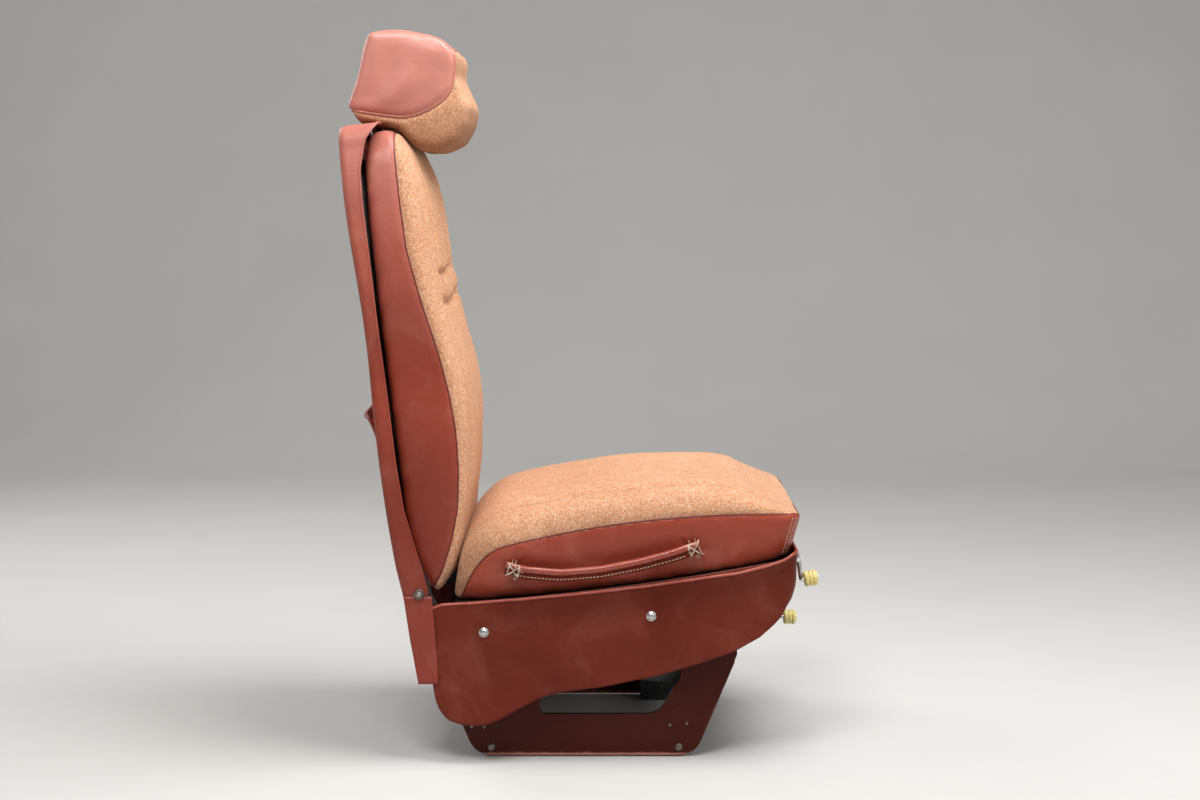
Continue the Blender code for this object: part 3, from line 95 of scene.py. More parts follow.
# Headrest outline and the hood's seam: x, height.
HEAD_OUTLINE = ((-0.334, 1.115), (-0.284, 1.1145), (-0.238, 1.1070), (-0.213, 1.0990), (-0.1945, 1.0840),
                (-0.1935, 1.0640), (-0.1965, 1.0440), (-0.188, 1.0230), (-0.176, 0.9970), (-0.180, 0.9680),
                (-0.194, 0.9415), (-0.225, 0.9290), (-0.253, 0.9330), (-0.272, 0.9490), (-0.291, 0.9655),
                (-0.323, 0.9710), (-0.354, 0.9770), (-0.368, 0.9950), (-0.353, 1.0400), (-0.3425, 1.0850))
HOOD_SEAM = ((-0.400, 0.9900), (-0.359, 0.9940), (-0.323, 0.9880), (-0.285, 0.9830), (-0.262, 0.9860),
             (-0.239, 0.9960), (-0.220, 1.0080), (-0.2065, 1.0250), (-0.2020, 1.0450), (-0.1990, 1.0670),
             (-0.2030, 1.0850), (-0.2130, 1.0990), (-0.224, 1.1120), (-0.240, 1.1500))


def linear(red, green, blue):
    """Display values 0..255 as scene-linear colour."""
    return tuple(((c / 255 + 0.055) / 1.055) ** 2.4 if c > 10 else c / 3294.6 for c in (red, green, blue))


def colour(label, red, green, blue):
    return FloatVectorProperty(name=label, description=label + " as a scene-linear colour", subtype="COLOR",
                               size=3, min=0.0, max=1.0, default=linear(red, green, blue))


def length(label, metres, low=0.0, high=1.0):
    return FloatProperty(name=label, description=label + " in metres", subtype="DISTANCE", unit="LENGTH",
                         precision=4, min=low, max=high, default=metres)


class SeatColours(bpy.types.PropertyGroup):
    """Colours of the seat's finishes."""
    leather: colour("Leather", 158, 66, 46)
    leather_deep: colour("Deep tone of the leather", 120, 40, 26)
    # Pale bloom of real wear, and also the painted highlight towards the top of the seat.
    leather_worn_and_highlight: colour("Worn bloom of the leather", 208, 138, 122)
    tweed_light: colour("Light yarn of the tweed", 246, 211, 179)
    tweed_middle: colour("Middle yarn of the tweed", 228, 168, 128)
    tweed_dark: colour("Dark yarn of the tweed", 180, 114, 78)
    piping: colour("Welt along the seams", 112, 36, 30)
    thread: colour("Cream thread", 238, 220, 196)
    enamel: colour("Base enamel", 64, 20, 13)
    # Pale rubbed edge of the base: real wear, and partly a painted highlight along its edges.
    enamel_worn_and_highlight: colour("Rubbed edge of the base", 176, 118, 104)
    ivory: colour("Ivory knobs", 232, 214, 136)
    floor: colour("Floor", 206, 204, 200)


class SeatSizes(bpy.types.PropertyGroup):
    """Sizes of the upholstery details."""
    cover_thickness: length("Thickness of a leather cover", 0.0012)
    welt_radius: length("Radius of the welt", 0.0013)
    skirt_thickness: length("Thickness of the skirt leather", 0.0024)
    hem_radius: length("Radius of the skirt's rolled hem", 0.0024)
    stitch_length: length("Length of one stitch", 0.0034)
    stitch_pitch: length("Distance between stitches", 0.0052)
    thread_radius: length("Radius of the thread", 0.00045)
    voxel: length("Size of the padding's mesh", 0.0062, 0.002, 0.01)
    swell: length("Most that padding swells", 0.003)
    pressure: FloatProperty(name="Pressure", description="Air pressure inside the padding", default=4.0)
    settle_frames: IntProperty(name="Settle frames", description="Frames that the padding takes to settle",
                               default=20)


def colours():
    return bpy.context.scene.seat_colours


def sizes():
    return bpy.context.scene.seat_sizes


# Curves and grids

def curve(table, x, soft=0.006):
    """Height of a measured outline at x: straight runs between its points, averaged over x ± soft."""
    at = np.asarray([p[0] for p in table])
    value = np.asarray([p[1] for p in table])
    x = np.asarray(x, float)
    offsets = np.linspace(-soft, soft, 9)
    return sum(np.interp(x + o, at, value) for o in offsets) / len(offsets)


def bell(x, centre, width):
    """Bell curve of height 1 round centre."""
    return np.exp(-((np.asarray(x) - centre) / width) ** 2)


def ease(x, low, high):
    """0 below low, 1 above high, and a smooth step between."""
    t = np.clip((np.asarray(x, float) - low) / (high - low), 0, 1)
    return t * t * (3 - 2 * t)


def resampled(points, count, closed=False, reach=None):
    """Points spaced evenly along a smooth line through the given ones, by arc length and a moving average."""
    points = np.asarray(points, float)
    if closed:
        points = np.vstack([points, points[:1]])
    along = np.concatenate([[0], np.cumsum(np.linalg.norm(np.diff(points, axis=0), axis=1))])
    fine = np.linspace(0, along[-1], count * 4 + (0 if closed else 1), endpoint=not closed)
    dense = np.stack([np.interp(fine, along, points[:, k]) for k in range(points.shape[1])], 1)
    reach = reach or max(2, len(fine) // (2 * len(points)))
    weights = np.hanning(2 * reach + 3)[1:-1]
    weights /= weights.sum()
    pad = len(weights) // 2
    if closed:
        wide = np.vstack([dense[-pad:], dense, dense[:pad]])
    else:
        wide = np.vstack([2 * dense[0] - dense[pad:0:-1], dense, 2 * dense[-1] - dense[-2:-pad - 2:-1]])
    smooth = np.stack([np.convolve(wide[:, k], weights, "valid") for k in range(points.shape[1])], 1)
    return smooth[::4]


def lean(n, y, s):
    """Points of the back, from forward n, across y and up s to the row frame."""
    n, y, s = np.broadcast_arrays(np.asarray(n, float), np.asarray(y, float), np.asarray(s, float))
    return np.stack([PIVOT_X + n * math.cos(LEAN) - s * math.sin(LEAN), y,
                     PIVOT_Z + n * math.sin(LEAN) + s * math.cos(LEAN)], -1)


def back_frame(points):
    """n, y and s of points in the row frame: the inverse of lean."""
    dx, dz = points[:, 0] - PIVOT_X, points[:, 2] - PIVOT_Z
    return (dx * math.cos(LEAN) + dz * math.sin(LEAN), points[:, 1], dz * math.cos(LEAN) - dx * math.sin(LEAN))


def lattice(rows, columns, close_rows=False, close_columns=False, start=0):
    """Quads of a rows × columns grid of vertices numbered row by row from start."""
    r = np.arange(rows if close_rows else rows - 1)[:, None]
    c = np.arange(columns if close_columns else columns - 1)[None, :]
    r2, c2 = (r + 1) % rows, (c + 1) % columns
    quads = np.stack(np.broadcast_arrays(r * columns + c, r * columns + c2, r2 * columns + c2, r2 * columns + c), -1)
    return quads.reshape(-1, 4) + start


class Skin:
    """Vertices and faces gathered for one mesh."""

    def __init__(self):
        self.points, self.faces, self.count = [], [], 0

    def grid(self, points, close_rows=False, close_columns=False, cap_rows=False):
        """Adds a grid of points (rows, columns, 3). Closed columns are rings, and cap_rows fills the end rings."""
        rows, columns = points.shape[:2]
        start = self.count
        self.points.append(points.reshape(-1, 3))
        self.faces += lattice(rows, columns, close_rows, close_columns, start).tolist()
        self.count += rows * columns
        if cap_rows:
            for ring, turn in ((0, -1), (rows - 1, 1)):
                self.points.append(points[ring].mean(0)[None])
                index = start + ring * columns + np.arange(columns)
                after = start + ring * columns + (np.arange(columns) + 1) % columns
                fan = np.stack([index, after, np.full(columns, self.count)], 1)[:, ::turn]
                self.faces += fan.tolist()
                self.count += 1
        return self

    def many(self, points, faces):
        """Adds copies of one small shape: points (copies, n, 3) and the faces of one copy."""
        copies, size = points.shape[:2]
        self.points.append(points.reshape(-1, 3))
        for width in sorted({len(f) for f in faces}):
            block = np.asarray([f for f in faces if len(f) == width])
            block = block[None] + (self.count + size * np.arange(copies))[:, None, None]
            self.faces += block.reshape(-1, width).tolist()
        self.count += copies * size
        return self

    def made(self, name, finish, body=None, merge=0.0, outward=False, smooth=True):
        """The gathered mesh as an object with a finish, riding on a body."""
        mesh = bpy.data.meshes.new(name)
        mesh.from_pydata(np.concatenate(self.points).tolist(), [], self.faces)
        if merge or outward:
            work = bmesh.new()
            work.from_mesh(mesh)
            if merge:
                bmesh.ops.remove_doubles(work, verts=work.verts, dist=merge)
                bmesh.ops.dissolve_degenerate(work, dist=merge * 0.5, edges=work.edges)
            bmesh.ops.recalc_face_normals(work, faces=work.faces)
            work.to_mesh(mesh)
            work.free()
        mesh.update()
        mesh.shade_smooth() if smooth else mesh.shade_flat()
        made = bpy.data.objects.new(name, mesh)
        bpy.context.scene.collection.objects.link(made)
        if finish:
            dress(made, finish)
        if body:
            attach(made, body)
        return made


def dress(thing, finish):
    """Gives an object the finish of that name."""
    thing.data.materials.clear()
    thing.data.materials.append(bpy.data.materials[finish])


def frames_along(path, out, closed=False):
    """Tangent, outward and upward unit vectors along a path, with outward kept near the given direction."""
    path = np.asarray(path, float)
    if closed:
        tangent = np.roll(path, -1, 0) - np.roll(path, 1, 0)
    else:
        tangent = np.gradient(path, axis=0)
    tangent /= np.linalg.norm(tangent, axis=1)[:, None]
    out = np.broadcast_to(np.asarray(out, float), path.shape)
    out = out - (out * tangent).sum(1)[:, None] * tangent
    out /= np.linalg.norm(out, axis=1)[:, None]
    return tangent, out, np.cross(tangent, out)


def carried(path, out, profile, closed=False):
    """A closed profile (outward, upward) carried along a path: path + outward · p0 + upward · p1."""
    path = np.asarray(path, float)
    _, outward, upward = frames_along(path, out, closed)
    profile = np.asarray(profile, float)
    return path[:, None] + (profile[None, :, :1] * outward[:, None] + profile[None, :, 1:] * upward[:, None])


def round_profile(radius, sides=10):
    """A circle as (outward, upward) points."""
    angle = np.arange(sides) * 2 * math.pi / sides
    return np.stack([radius * np.cos(angle), radius * np.sin(angle)], 1)


def welt(name, path, radius, finish, body, out, closed=False, sides=8):
    """Piping: a circle carried along a seam."""
    rings = carried(path, out, round_profile(radius, sides), closed)
    skin = Skin().grid(rings, close_rows=closed, close_columns=True, cap_rows=not closed)
    return skin.made(name, finish, body, outward=True)


def bead_points(starts, ends, out, radius):
    """Small six-sided stitches from starts to ends that rise in the middle: a circle scaled by 0.5, 1, 1, 0.5."""
    starts, ends = np.asarray(starts, float), np.asarray(ends, float)
    direction = ends - starts
    size = np.linalg.norm(direction, axis=1)[:, None]
    tangent = direction / size
    out = np.broadcast_to(np.asarray(out, float), starts.shape)
    out = out - (out * tangent).sum(1)[:, None] * tangent
    out /= np.linalg.norm(out, axis=1)[:, None]
    side = np.cross(tangent, out)
    angle = np.arange(6) * math.pi / 3
    rings = []
    for along, width, rise in ((0.0, 0.5, -0.8), (0.2, 1.0, 0.5), (0.8, 1.0, 0.5), (1.0, 0.5, -0.8)):
        centre = starts + direction * along + out * (radius * rise)
        ring = (np.cos(angle)[None, :, None] * out[:, None] + np.sin(angle)[None, :, None] * side[:, None])
        rings.append(centre[:, None] + ring * (radius * width))
    return np.stack(rings, 1).reshape(len(starts), -1, 3)


def bead_faces():
    faces = lattice(4, 6, close_columns=True).tolist()
    return faces + [[5, 4, 3, 2, 1, 0], [18, 19, 20, 21, 22, 23]]


def stitching(name, starts, ends, out, body, radius=None):
    """Cream stitches in one mesh."""
    radius = radius or sizes().thread_radius
    skin = Skin().many(bead_points(starts, ends, out, radius), bead_faces())
    return skin.made(name, "Thread", body, outward=True)


def stitch_ends(path, pitch, stitch):
    """Start and end points of stitches laid along a path every pitch."""
    path = np.asarray(path, float)
    along = np.concatenate([[0], np.cumsum(np.linalg.norm(np.diff(path, axis=0), axis=1))])
    first = np.arange(0.0, along[-1] - stitch, pitch)

    def at(where):
        return np.stack([np.interp(where, along, path[:, k]) for k in range(3)], 1)
    return at(first), at(first + stitch)


def stitched(name, paths, pitch, stitch, out, body):
    """Rows of stitches along several paths, in one mesh."""
    starts, ends = zip(*(stitch_ends(path, pitch, stitch) for path in paths))
    return stitching(name, np.vstack(starts), np.vstack(ends), out, body)


def turned(skin, profile, spot, face, sign, sides=40, start=0.0):
    """Adds a profile of (radius, height) turned round an axis along Y at spot (x, z), and rising outward from face."""
    angle = start + np.linspace(0, 2 * math.pi, sides, endpoint=False)
    radius, height = np.asarray(profile).T[:, :, None]
    ring = np.stack([spot[0] + radius * np.cos(angle), sign * (face + height) + 0 * angle,
                     spot[1] + radius * np.sin(angle)], -1)
    return skin.grid(ring, close_columns=True)


# Materials

def material(name, slot=None):
    """Tree and shader of a new node material, tied to a slot of the record."""
    made = bpy.data.materials.new(name)
    made.use_nodes = True
    if slot:
        made["seat_slot"] = slot
    return made.node_tree, made.node_tree.nodes["Principled BSDF"]


def node(tree, kind, inputs=(), **settings):
    """Adds a node; inputs is a dict of socket: value or linked output."""
    made = tree.nodes.new(kind)
    for key, value in settings.items():
        setattr(made, key, value)
    for key, value in dict(inputs).items():
        if isinstance(value, bpy.types.NodeSocket):
            tree.links.new(value, made.inputs[key])
        else:
            made.inputs[key].default_value = value
    return made


def place(tree, scale=(1, 1, 1)):
    """Object coordinates, stretched."""
    source = node(tree, "ShaderNodeTexCoord").outputs["Object"]
    return node(tree, "ShaderNodeMapping", {"Vector": source, "Scale": scale}).outputs[0]


def height_of(tree, where):
    return node(tree, "ShaderNodeSeparateXYZ", {"Vector": where}).outputs["Z"]


def toned(shade, share):
    """A colour with each channel multiplied by share."""
    return tuple(v * share for v in shade)


def noise(tree, where, scale, detail=2.0, rough=0.5, distortion=0.0):
    return node(tree, "ShaderNodeTexNoise", {"Vector": where, "Scale": scale, "Detail": detail,
                                             "Roughness": rough, "Distortion": distortion}).outputs["Fac"]


def cells(tree, where, scale, jitter=1.0):
    """Outputs of a cell pattern: the Distance to each cell's middle and its random Color."""
    return node(tree, "ShaderNodeTexVoronoi", {"Vector": where, "Scale": scale, "Randomness": jitter}).outputs


def channels(tree, shade):
    return node(tree, "ShaderNodeSeparateColor", {"Color": shade}).outputs


def ramp(tree, value, *stops):
    """Colour ramp through (position, colour or grey) stops."""
    made = node(tree, "ShaderNodeValToRGB", {"Fac": value})
    made.color_ramp.elements.remove(made.color_ramp.elements[1])
    for index, (position, shade) in enumerate(stops):
        element = made.color_ramp.elements[0] if index == 0 else made.color_ramp.elements.new(position)
        element.position = position
        element.color = (shade,) * 3 + (1,) if isinstance(shade, (int, float)) else tuple(shade)[:3] + (1,)
    return made.outputs["Color"]


def mixed(tree, factor, first, second):
    """Two colours mixed by a factor."""
    made = tree.nodes.new("ShaderNodeMix")
    made.data_type = "RGBA"
    for socket, value in ((made.inputs[0], factor), (made.inputs[6], first), (made.inputs[7], second)):
        if isinstance(value, bpy.types.NodeSocket):
            tree.links.new(value, socket)
        else:
            socket.default_value = value if isinstance(value, (int, float)) else tuple(value)[:3] + (1,)
    return made.outputs[2]


def math_node(tree, operation, first, second=0.0, clamp=False):
    made = node(tree, "ShaderNodeMath", {0: first, 1: second}, operation=operation)
    made.use_clamp = clamp
    return made.outputs[0]


def darkened_by_painted_shade(tree, base, dark):
    """A colour darkened by painted shade, as far as the per-vertex attribute of painted shade says."""
    return mixed(tree, node(tree, "ShaderNodeAttribute", attribute_name="painted_shade").outputs["Fac"], base, dark)


def bumped(tree, shader, *layers):
    """Bump layers (height, strength, distance) stacked on the shader's normal."""
    normal = None
    for height, strength, distance in layers:
        inputs = {"Height": height, "Strength": strength, "Distance": distance}
        if normal:
            inputs["Normal"] = normal
        normal = node(tree, "ShaderNodeBump", inputs).outputs[0]
    tree.links.new(normal, shader.inputs["Normal"])


def leather_material(name, tone=1.0, bloom=0.5, rough=0.44, shine=0.5, painted_light_falloff=0.0, shade=None):
    """Pigmented leather: blotches of two tones, a pale bloom where it is handled, pebbled grain and fine creases.

    With painted light it is deep below half a metre as painted shade, and pale towards the top as a painted highlight.
    Shade gives two heights between which painted shade deepens it downwards, and the attribute of painted shade darkens
    it."""
    c = colours()
    tree, shader = material(name, "red_leather")
    where = place(tree)
    light, deep = toned(c.leather, tone), toned(c.leather_deep, tone)
    blotch = noise(tree, where, 7.0, 4.0, 0.6, 0.4)
    base = ramp(tree, blotch, (0.34, deep), (0.62, light))
    base = mixed(tree, 0.55, base, light)
    wear = ramp(tree, noise(tree, where, 14.0, 5.0, 0.62, 0.7), (0.50, 0.0), (0.72, bloom * 0.5))
    base = mixed(tree, wear, base, c.leather_worn_and_highlight)
    # Painted light: darker towards the bottom as painted shade, paler towards the top as a painted highlight.
    if painted_light_falloff:
        height = height_of(tree, where)
        base = mixed(tree, ramp(tree, height, (0.36, 0.60), (0.62, 0.0)), base, deep)
        base = mixed(tree, ramp(tree, height, (0.60, 0.0), (0.80, 0.30 * painted_light_falloff), (1.0, painted_light_falloff)), base, c.leather_worn_and_highlight)
    # Painted shade, darker downwards between the two heights.
    if shade:
        height = math_node(tree, "SUBTRACT", height_of(tree, where), shade[0])
        base = mixed(tree, ramp(tree, height, (0.0, 0.50), (shade[1] - shade[0], 0.0)), base, deep)
    # Painted shade from the per-vertex attribute of painted shade.
    base = darkened_by_painted_shade(tree, base, toned(deep, 0.45))
    pores = cells(tree, where, 620.0)["Distance"]
    base = mixed(tree, ramp(tree, pores, (0.0, 0.16), (0.35, 0.0)), base, deep)
    tree.links.new(base, shader.inputs["Base Color"])
    gloss = ramp(tree, noise(tree, where, 22.0, 4.0), (0.3, rough - 0.07), (0.7, rough + 0.08))
    tree.links.new(gloss, shader.inputs["Roughness"])
    shader.inputs["Specular IOR Level"].default_value = shine
    shader.inputs["Coat Weight"].default_value = 0.15 * shine
    shader.inputs["Coat Roughness"].default_value = 0.3
    pebbles = node(tree, "ShaderNodeTexVoronoi", {"Vector": where, "Scale": 480.0, "Smoothness": 0.35},
                   feature="SMOOTH_F1").outputs["Distance"]
    creases = noise(tree, place(tree, (1, 1, 2.4)), 60.0, 3.0, 0.55, 1.2)
    folds = noise(tree, where, 16.0, 2.0, 0.5, 0.5)
    bumped(tree, shader, (folds, 0.35, 0.004), (creases, 0.30, 0.0008), (pebbles, 0.30, 0.0004))


def tweed_material(name):
    """Woven tweed: small yarn loops, each with its own shade, dark and light flecks, slow fading and streaks."""
    c = colours()
    tree, shader = material(name, "tweed_fabric")
    dark, middle, light = c.tweed_dark, c.tweed_middle, c.tweed_light
    yarn = place(tree)
    loops = cells(tree, yarn, 820.0, 0.9)
    tones = channels(tree, loops["Color"])
    base = ramp(tree, tones[0], (0.0, dark), (0.28, middle), (0.70, middle), (0.86, light), (1.0, light))
    flecks = channels(tree, cells(tree, yarn, 520.0)["Color"])
    base = mixed(tree, ramp(tree, flecks[1], (0.80, 0.0), (0.92, 0.40)), base, dark)
    base = mixed(tree, ramp(tree, flecks[2], (0.74, 0.0), (0.92, 0.30)), base, light)
    streaks = noise(tree, place(tree, (30, 60, 3.0)), 1.0, 3.0, 0.6)
    base = mixed(tree, ramp(tree, streaks, (0.35, 0.20), (0.60, 0.0)), base, dark)
    fade = noise(tree, yarn, 6.0, 3.0, 0.6)
    base = mixed(tree, ramp(tree, fade, (0.38, 0.14), (0.60, 0.0)), base, dark)
    base = mixed(tree, ramp(tree, loops["Distance"], (0.40, 0.0), (0.80, 0.45)), base, toned(dark, 0.45))
    # Painted shade from the per-vertex attribute of painted shade.
    base = darkened_by_painted_shade(tree, base, toned(dark, 0.50))
    tree.links.new(base, shader.inputs["Base Color"])
    shader.inputs["Roughness"].default_value = 0.92
    shader.inputs["Specular IOR Level"].default_value = 0.15
    shader.inputs["Sheen Weight"].default_value = 0.28
    shader.inputs["Sheen Roughness"].default_value = 0.45
    shader.inputs["Sheen Tint"].default_value = tuple(light) + (1,)
    hollow = math_node(tree, "SUBTRACT", 1.0, loops["Distance"])
    fuzz = noise(tree, yarn, 1500.0, 2.0)
    soft = noise(tree, yarn, 24.0, 3.0, 0.5)
    bumped(tree, shader, (soft, 0.5, 0.004), (hollow, 0.8, 0.0010), (fuzz, 0.4, 0.0004))


def thread_material():
    tree, shader = material("Thread", "red_leather")
    twist = noise(tree, place(tree), 2600.0, 1.0)
    base = mixed(tree, twist, colours().thread, toned(colours().thread, 0.62))
    tree.links.new(base, shader.inputs["Base Color"])
    shader.inputs["Roughness"].default_value = 0.75
    bumped(tree, shader, (twist, 0.6, 0.0004))


def welt_material():
    tree, shader = material("Welt", "red_leather")
    shade = noise(tree, place(tree), 40.0, 3.0)
    base = ramp(tree, shade, (0.3, toned(colours().piping, 0.7)), (0.7, colours().piping))
    tree.links.new(base, shader.inputs["Base Color"])
    shader.inputs["Roughness"].default_value = 0.48
    bumped(tree, shader, (cells(tree, place(tree), 700.0)["Distance"], 0.3, 0.0004))


def enamel_material(name, wear):
    """Gloss enamel over primer: worn bright along the foot of the panel, partly as a painted highlight, with chips and
    faint orange peel.
    """
    c = colours()
    tree, shader = material(name, "base_paint")
    where = place(tree)
    ragged = math_node(tree, "MULTIPLY", noise(tree, where, 90.0, 4.0, 0.7), 0.006)
    low = math_node(tree, "SUBTRACT", height_of(tree, where), ragged)
    # Pale band along the foot: worn paint and partly a painted highlight on the bent edge.
    rubbed_and_highlight = ramp(tree, math_node(tree, "MULTIPLY", low, 100.0, True), (0.06, 0.9), (0.42, 0.0))
    chips = ramp(tree, noise(tree, where, 150.0, 5.0, 0.75), (0.665 - 0.14 * wear, 0.0), (0.70 - 0.10 * wear, 0.7))
    dust = ramp(tree, noise(tree, where, 11.0, 5.0, 0.65), (0.40, 0.0), (0.75, 0.35))
    base = mixed(tree, dust, c.enamel, tuple(v * 1.5 + 0.001 for v in c.enamel))
    base = mixed(tree, chips, base, toned(c.enamel_worn_and_highlight, 0.55))
    base = mixed(tree, rubbed_and_highlight, base, c.enamel_worn_and_highlight)
    tree.links.new(base, shader.inputs["Base Color"])
    gloss = ramp(tree, noise(tree, where, 30.0, 4.0), (0.3, 0.30), (0.75, 0.50))
    tree.links.new(gloss, shader.inputs["Roughness"])
    shader.inputs["Specular IOR Level"].default_value = 0.12
    bumped(tree, shader, (noise(tree, where, 260.0, 1.0), 0.12, 0.0006), (chips, -0.4, 0.0003))


def metal_material(name, slot, base, rough, streak=0.12, grime=None):
    """Metal with fine turning lines, uneven polish and grime in blotches."""
    tree, shader = material(name, slot)
    lines = noise(tree, place(tree, (1, 1, 14)), 160.0, 3.0)
    tone = ramp(tree, lines, (0.3, toned(base, 1 - streak)), (0.7, base))
    if grime:
        spots = ramp(tree, noise(tree, place(tree), 60.0, 5.0, 0.7), (0.50, 0.0), (0.68, 0.75))
        tone = mixed(tree, spots, tone, grime)
    tree.links.new(tone, shader.inputs["Base Color"])
    shader.inputs["Metallic"].default_value = 1.0
    gloss = ramp(tree, noise(tree, place(tree), 80.0, 4.0), (0.3, max(0.04, rough - 0.05)), (0.7, rough + 0.10))
    tree.links.new(gloss, shader.inputs["Roughness"])
    bumped(tree, shader, (lines, 0.10, 0.0003))


def black_material():
    tree, shader = material("Black enamel", "black_steel")
    where = place(tree)
    rub = ramp(tree, noise(tree, where, 70.0, 5.0, 0.7), (0.60, (0.022, 0.021, 0.020)), (0.72, (0.11, 0.09, 0.08)))
    tree.links.new(rub, shader.inputs["Base Color"])
    gloss = ramp(tree, noise(tree, where, 35.0, 3.0), (0.3, 0.35), (0.7, 0.55))
    tree.links.new(gloss, shader.inputs["Roughness"])
    bumped(tree, shader, (noise(tree, where, 320.0, 2.0), 0.15, 0.0005))


def ivory_material():
    tree, shader = material("Ivory plastic", "ivory_plastic")
    where = place(tree)
    age = noise(tree, where, 120.0, 4.0, 0.6)
    base = ramp(tree, age, (0.3, toned(colours().ivory, 0.78)), (0.65, colours().ivory))
    tree.links.new(base, shader.inputs["Base Color"])
    shader.inputs["Roughness"].default_value = 0.34
    shader.inputs["Subsurface Weight"].default_value = 0.08
    shader.inputs["Subsurface Radius"].default_value = (0.004, 0.003, 0.002)
    shader.inputs["Subsurface Scale"].default_value = 0.5
    bumped(tree, shader, (noise(tree, where, 500.0, 2.0), 0.12, 0.0004))


# Which finish each frame piece of a record slot takes.
CAD_FINISHES = {"red_leather": "Leather", "tweed_fabric": "Tweed", "base_paint": "Base enamel",
                "black_steel": "Black enamel", "bare_steel": "Turned steel", "chrome_rod": "Chrome",
                "ivory_plastic": "Ivory plastic", "brass_metal": "Brass"}


# Padding

def remeshed(shape, voxel):
    """Even mesh over a closed shape."""
    modifier = shape.modifiers.new("Even", "REMESH")
    modifier.mode = "VOXEL"
    modifier.voxel_size = voxel
    modifier.adaptivity = 0.0
    apply_modifiers(shape)


def apply_modifiers(shape):
    """The evaluated mesh takes the place of the object's own, without its modifiers."""
    bpy.context.view_layer.update()
    seen = shape.evaluated_get(bpy.context.evaluated_depsgraph_get())
    mesh = bpy.data.meshes.new_from_object(seen)
    old = shape.data
    shape.modifiers.clear()
    shape.data = mesh
    bpy.data.meshes.remove(old)


def coordinates(mesh):
    flat = np.empty(len(mesh.vertices) * 3, np.float32)
    mesh.vertices.foreach_get("co", flat)
    return flat.reshape(-1, 3).astype(float)


def set_coordinates(mesh, points):
    mesh.vertices.foreach_set("co", np.asarray(points, np.float32).ravel())
    mesh.update()


def normals(mesh):
    flat = np.empty(len(mesh.vertices) * 3, np.float32)
    mesh.vertex_normals.foreach_get("vector", flat)
    return flat.reshape(-1, 3).astype(float)


def inflated(shape, cap):
    """Cloth under pressure puffs the shape, and no point moves further than cap."""
    start = coordinates(shape.data)
    cloth = shape.modifiers.new("Cloth", "CLOTH")
    settings = cloth.settings
    settings.use_pressure = True
    settings.uniform_pressure_force = sizes().pressure
    settings.effector_weights.gravity = 0.0
    settings.quality = 4
    settings.tension_stiffness = 12
    settings.compression_stiffness = 12
    settings.bending_stiffness = 0.4
    settings.mass = 0.3
    cloth.collision_settings.use_collision = False
    cloth.collision_settings.use_self_collision = False
    scene = bpy.context.scene
    last = sizes().settle_frames
    cloth.point_cache.frame_start, cloth.point_cache.frame_end = 1, last
    for number in range(1, last + 1):
        scene.frame_set(number)
    seen = shape.evaluated_get(bpy.context.evaluated_depsgraph_get())
    moved = coordinates(seen.data) - start
    shape.modifiers.clear()
    scene.frame_set(1)
    far = np.linalg.norm(moved, axis=1)
    moved *= (np.minimum(far, cap) / np.maximum(far, 1e-9))[:, None]
    set_coordinates(shape.data, start + relaxed(moved, mesh_edges(shape.data), 10))


def relaxed(points, edges, rounds, share=0.5):
    """Moves each point part of the way to the mean of its neighbours, several times."""
    count = np.bincount(edges.ravel(), minlength=len(points)).astype(float)
    for _ in range(rounds):
        total = np.zeros_like(points)
        for k in range(3):
            total[:, k] = (np.bincount(edges[:, 0], points[edges[:, 1], k], len(points))
                           + np.bincount(edges[:, 1], points[edges[:, 0], k], len(points)))
        points = points + share * (total / np.maximum(count, 1)[:, None] - points)
    return points


def mesh_edges(mesh):
    flat = np.empty(len(mesh.edges) * 2, np.int32)
    mesh.edges.foreach_get("vertices", flat)
    return flat.reshape(-1, 2)


def subdivided(shape):
    modifier = shape.modifiers.new("Round", "SUBSURF")
    modifier.levels = modifier.render_levels = 1
    apply_modifiers(shape)


def padding(name, skin, finish, cap, rounds=3, voxel=None):
    """Upholstered form: an even mesh over the skin, puffed by cloth, smoothed and subdivided once."""
    shape = skin.made(name, finish, merge=1e-5, outward=True)
    remeshed(shape, voxel or sizes().voxel)
    set_coordinates(shape.data, relaxed(coordinates(shape.data), mesh_edges(shape.data), rounds))
    inflated(shape, cap)
    subdivided(shape)
    dress(shape, finish)
    shape.data.shade_smooth()
    return shape


def worked(shape, depth):
    """Moves each vertex along its normal by depth(points, normals) metres."""
    points, out = coordinates(shape.data), normals(shape.data)
    set_coordinates(shape.data, points + out * depth(points, out)[:, None])


def painted_shade(shape, shade_amount):
    """Stores how much painted shade each vertex gets, 0..1, for the tweed and the leather."""
    layer = shape.data.attributes.new("painted_shade", "FLOAT", "POINT")
    value = np.clip(shade_amount(coordinates(shape.data), normals(shape.data)), 0, 1)
    layer.data.foreach_set("value", value.astype(np.float32))


def triangulated(mesh):
    work = bmesh.new()
    work.from_mesh(mesh)
    bmesh.ops.triangulate(work, faces=work.faces)
    work.to_mesh(mesh)
    work.free()


def triangles(mesh):
    flat = np.empty(len(mesh.loops), np.int32)
    mesh.loops.foreach_get("vertex_index", flat)
    return flat.reshape(-1, 3)


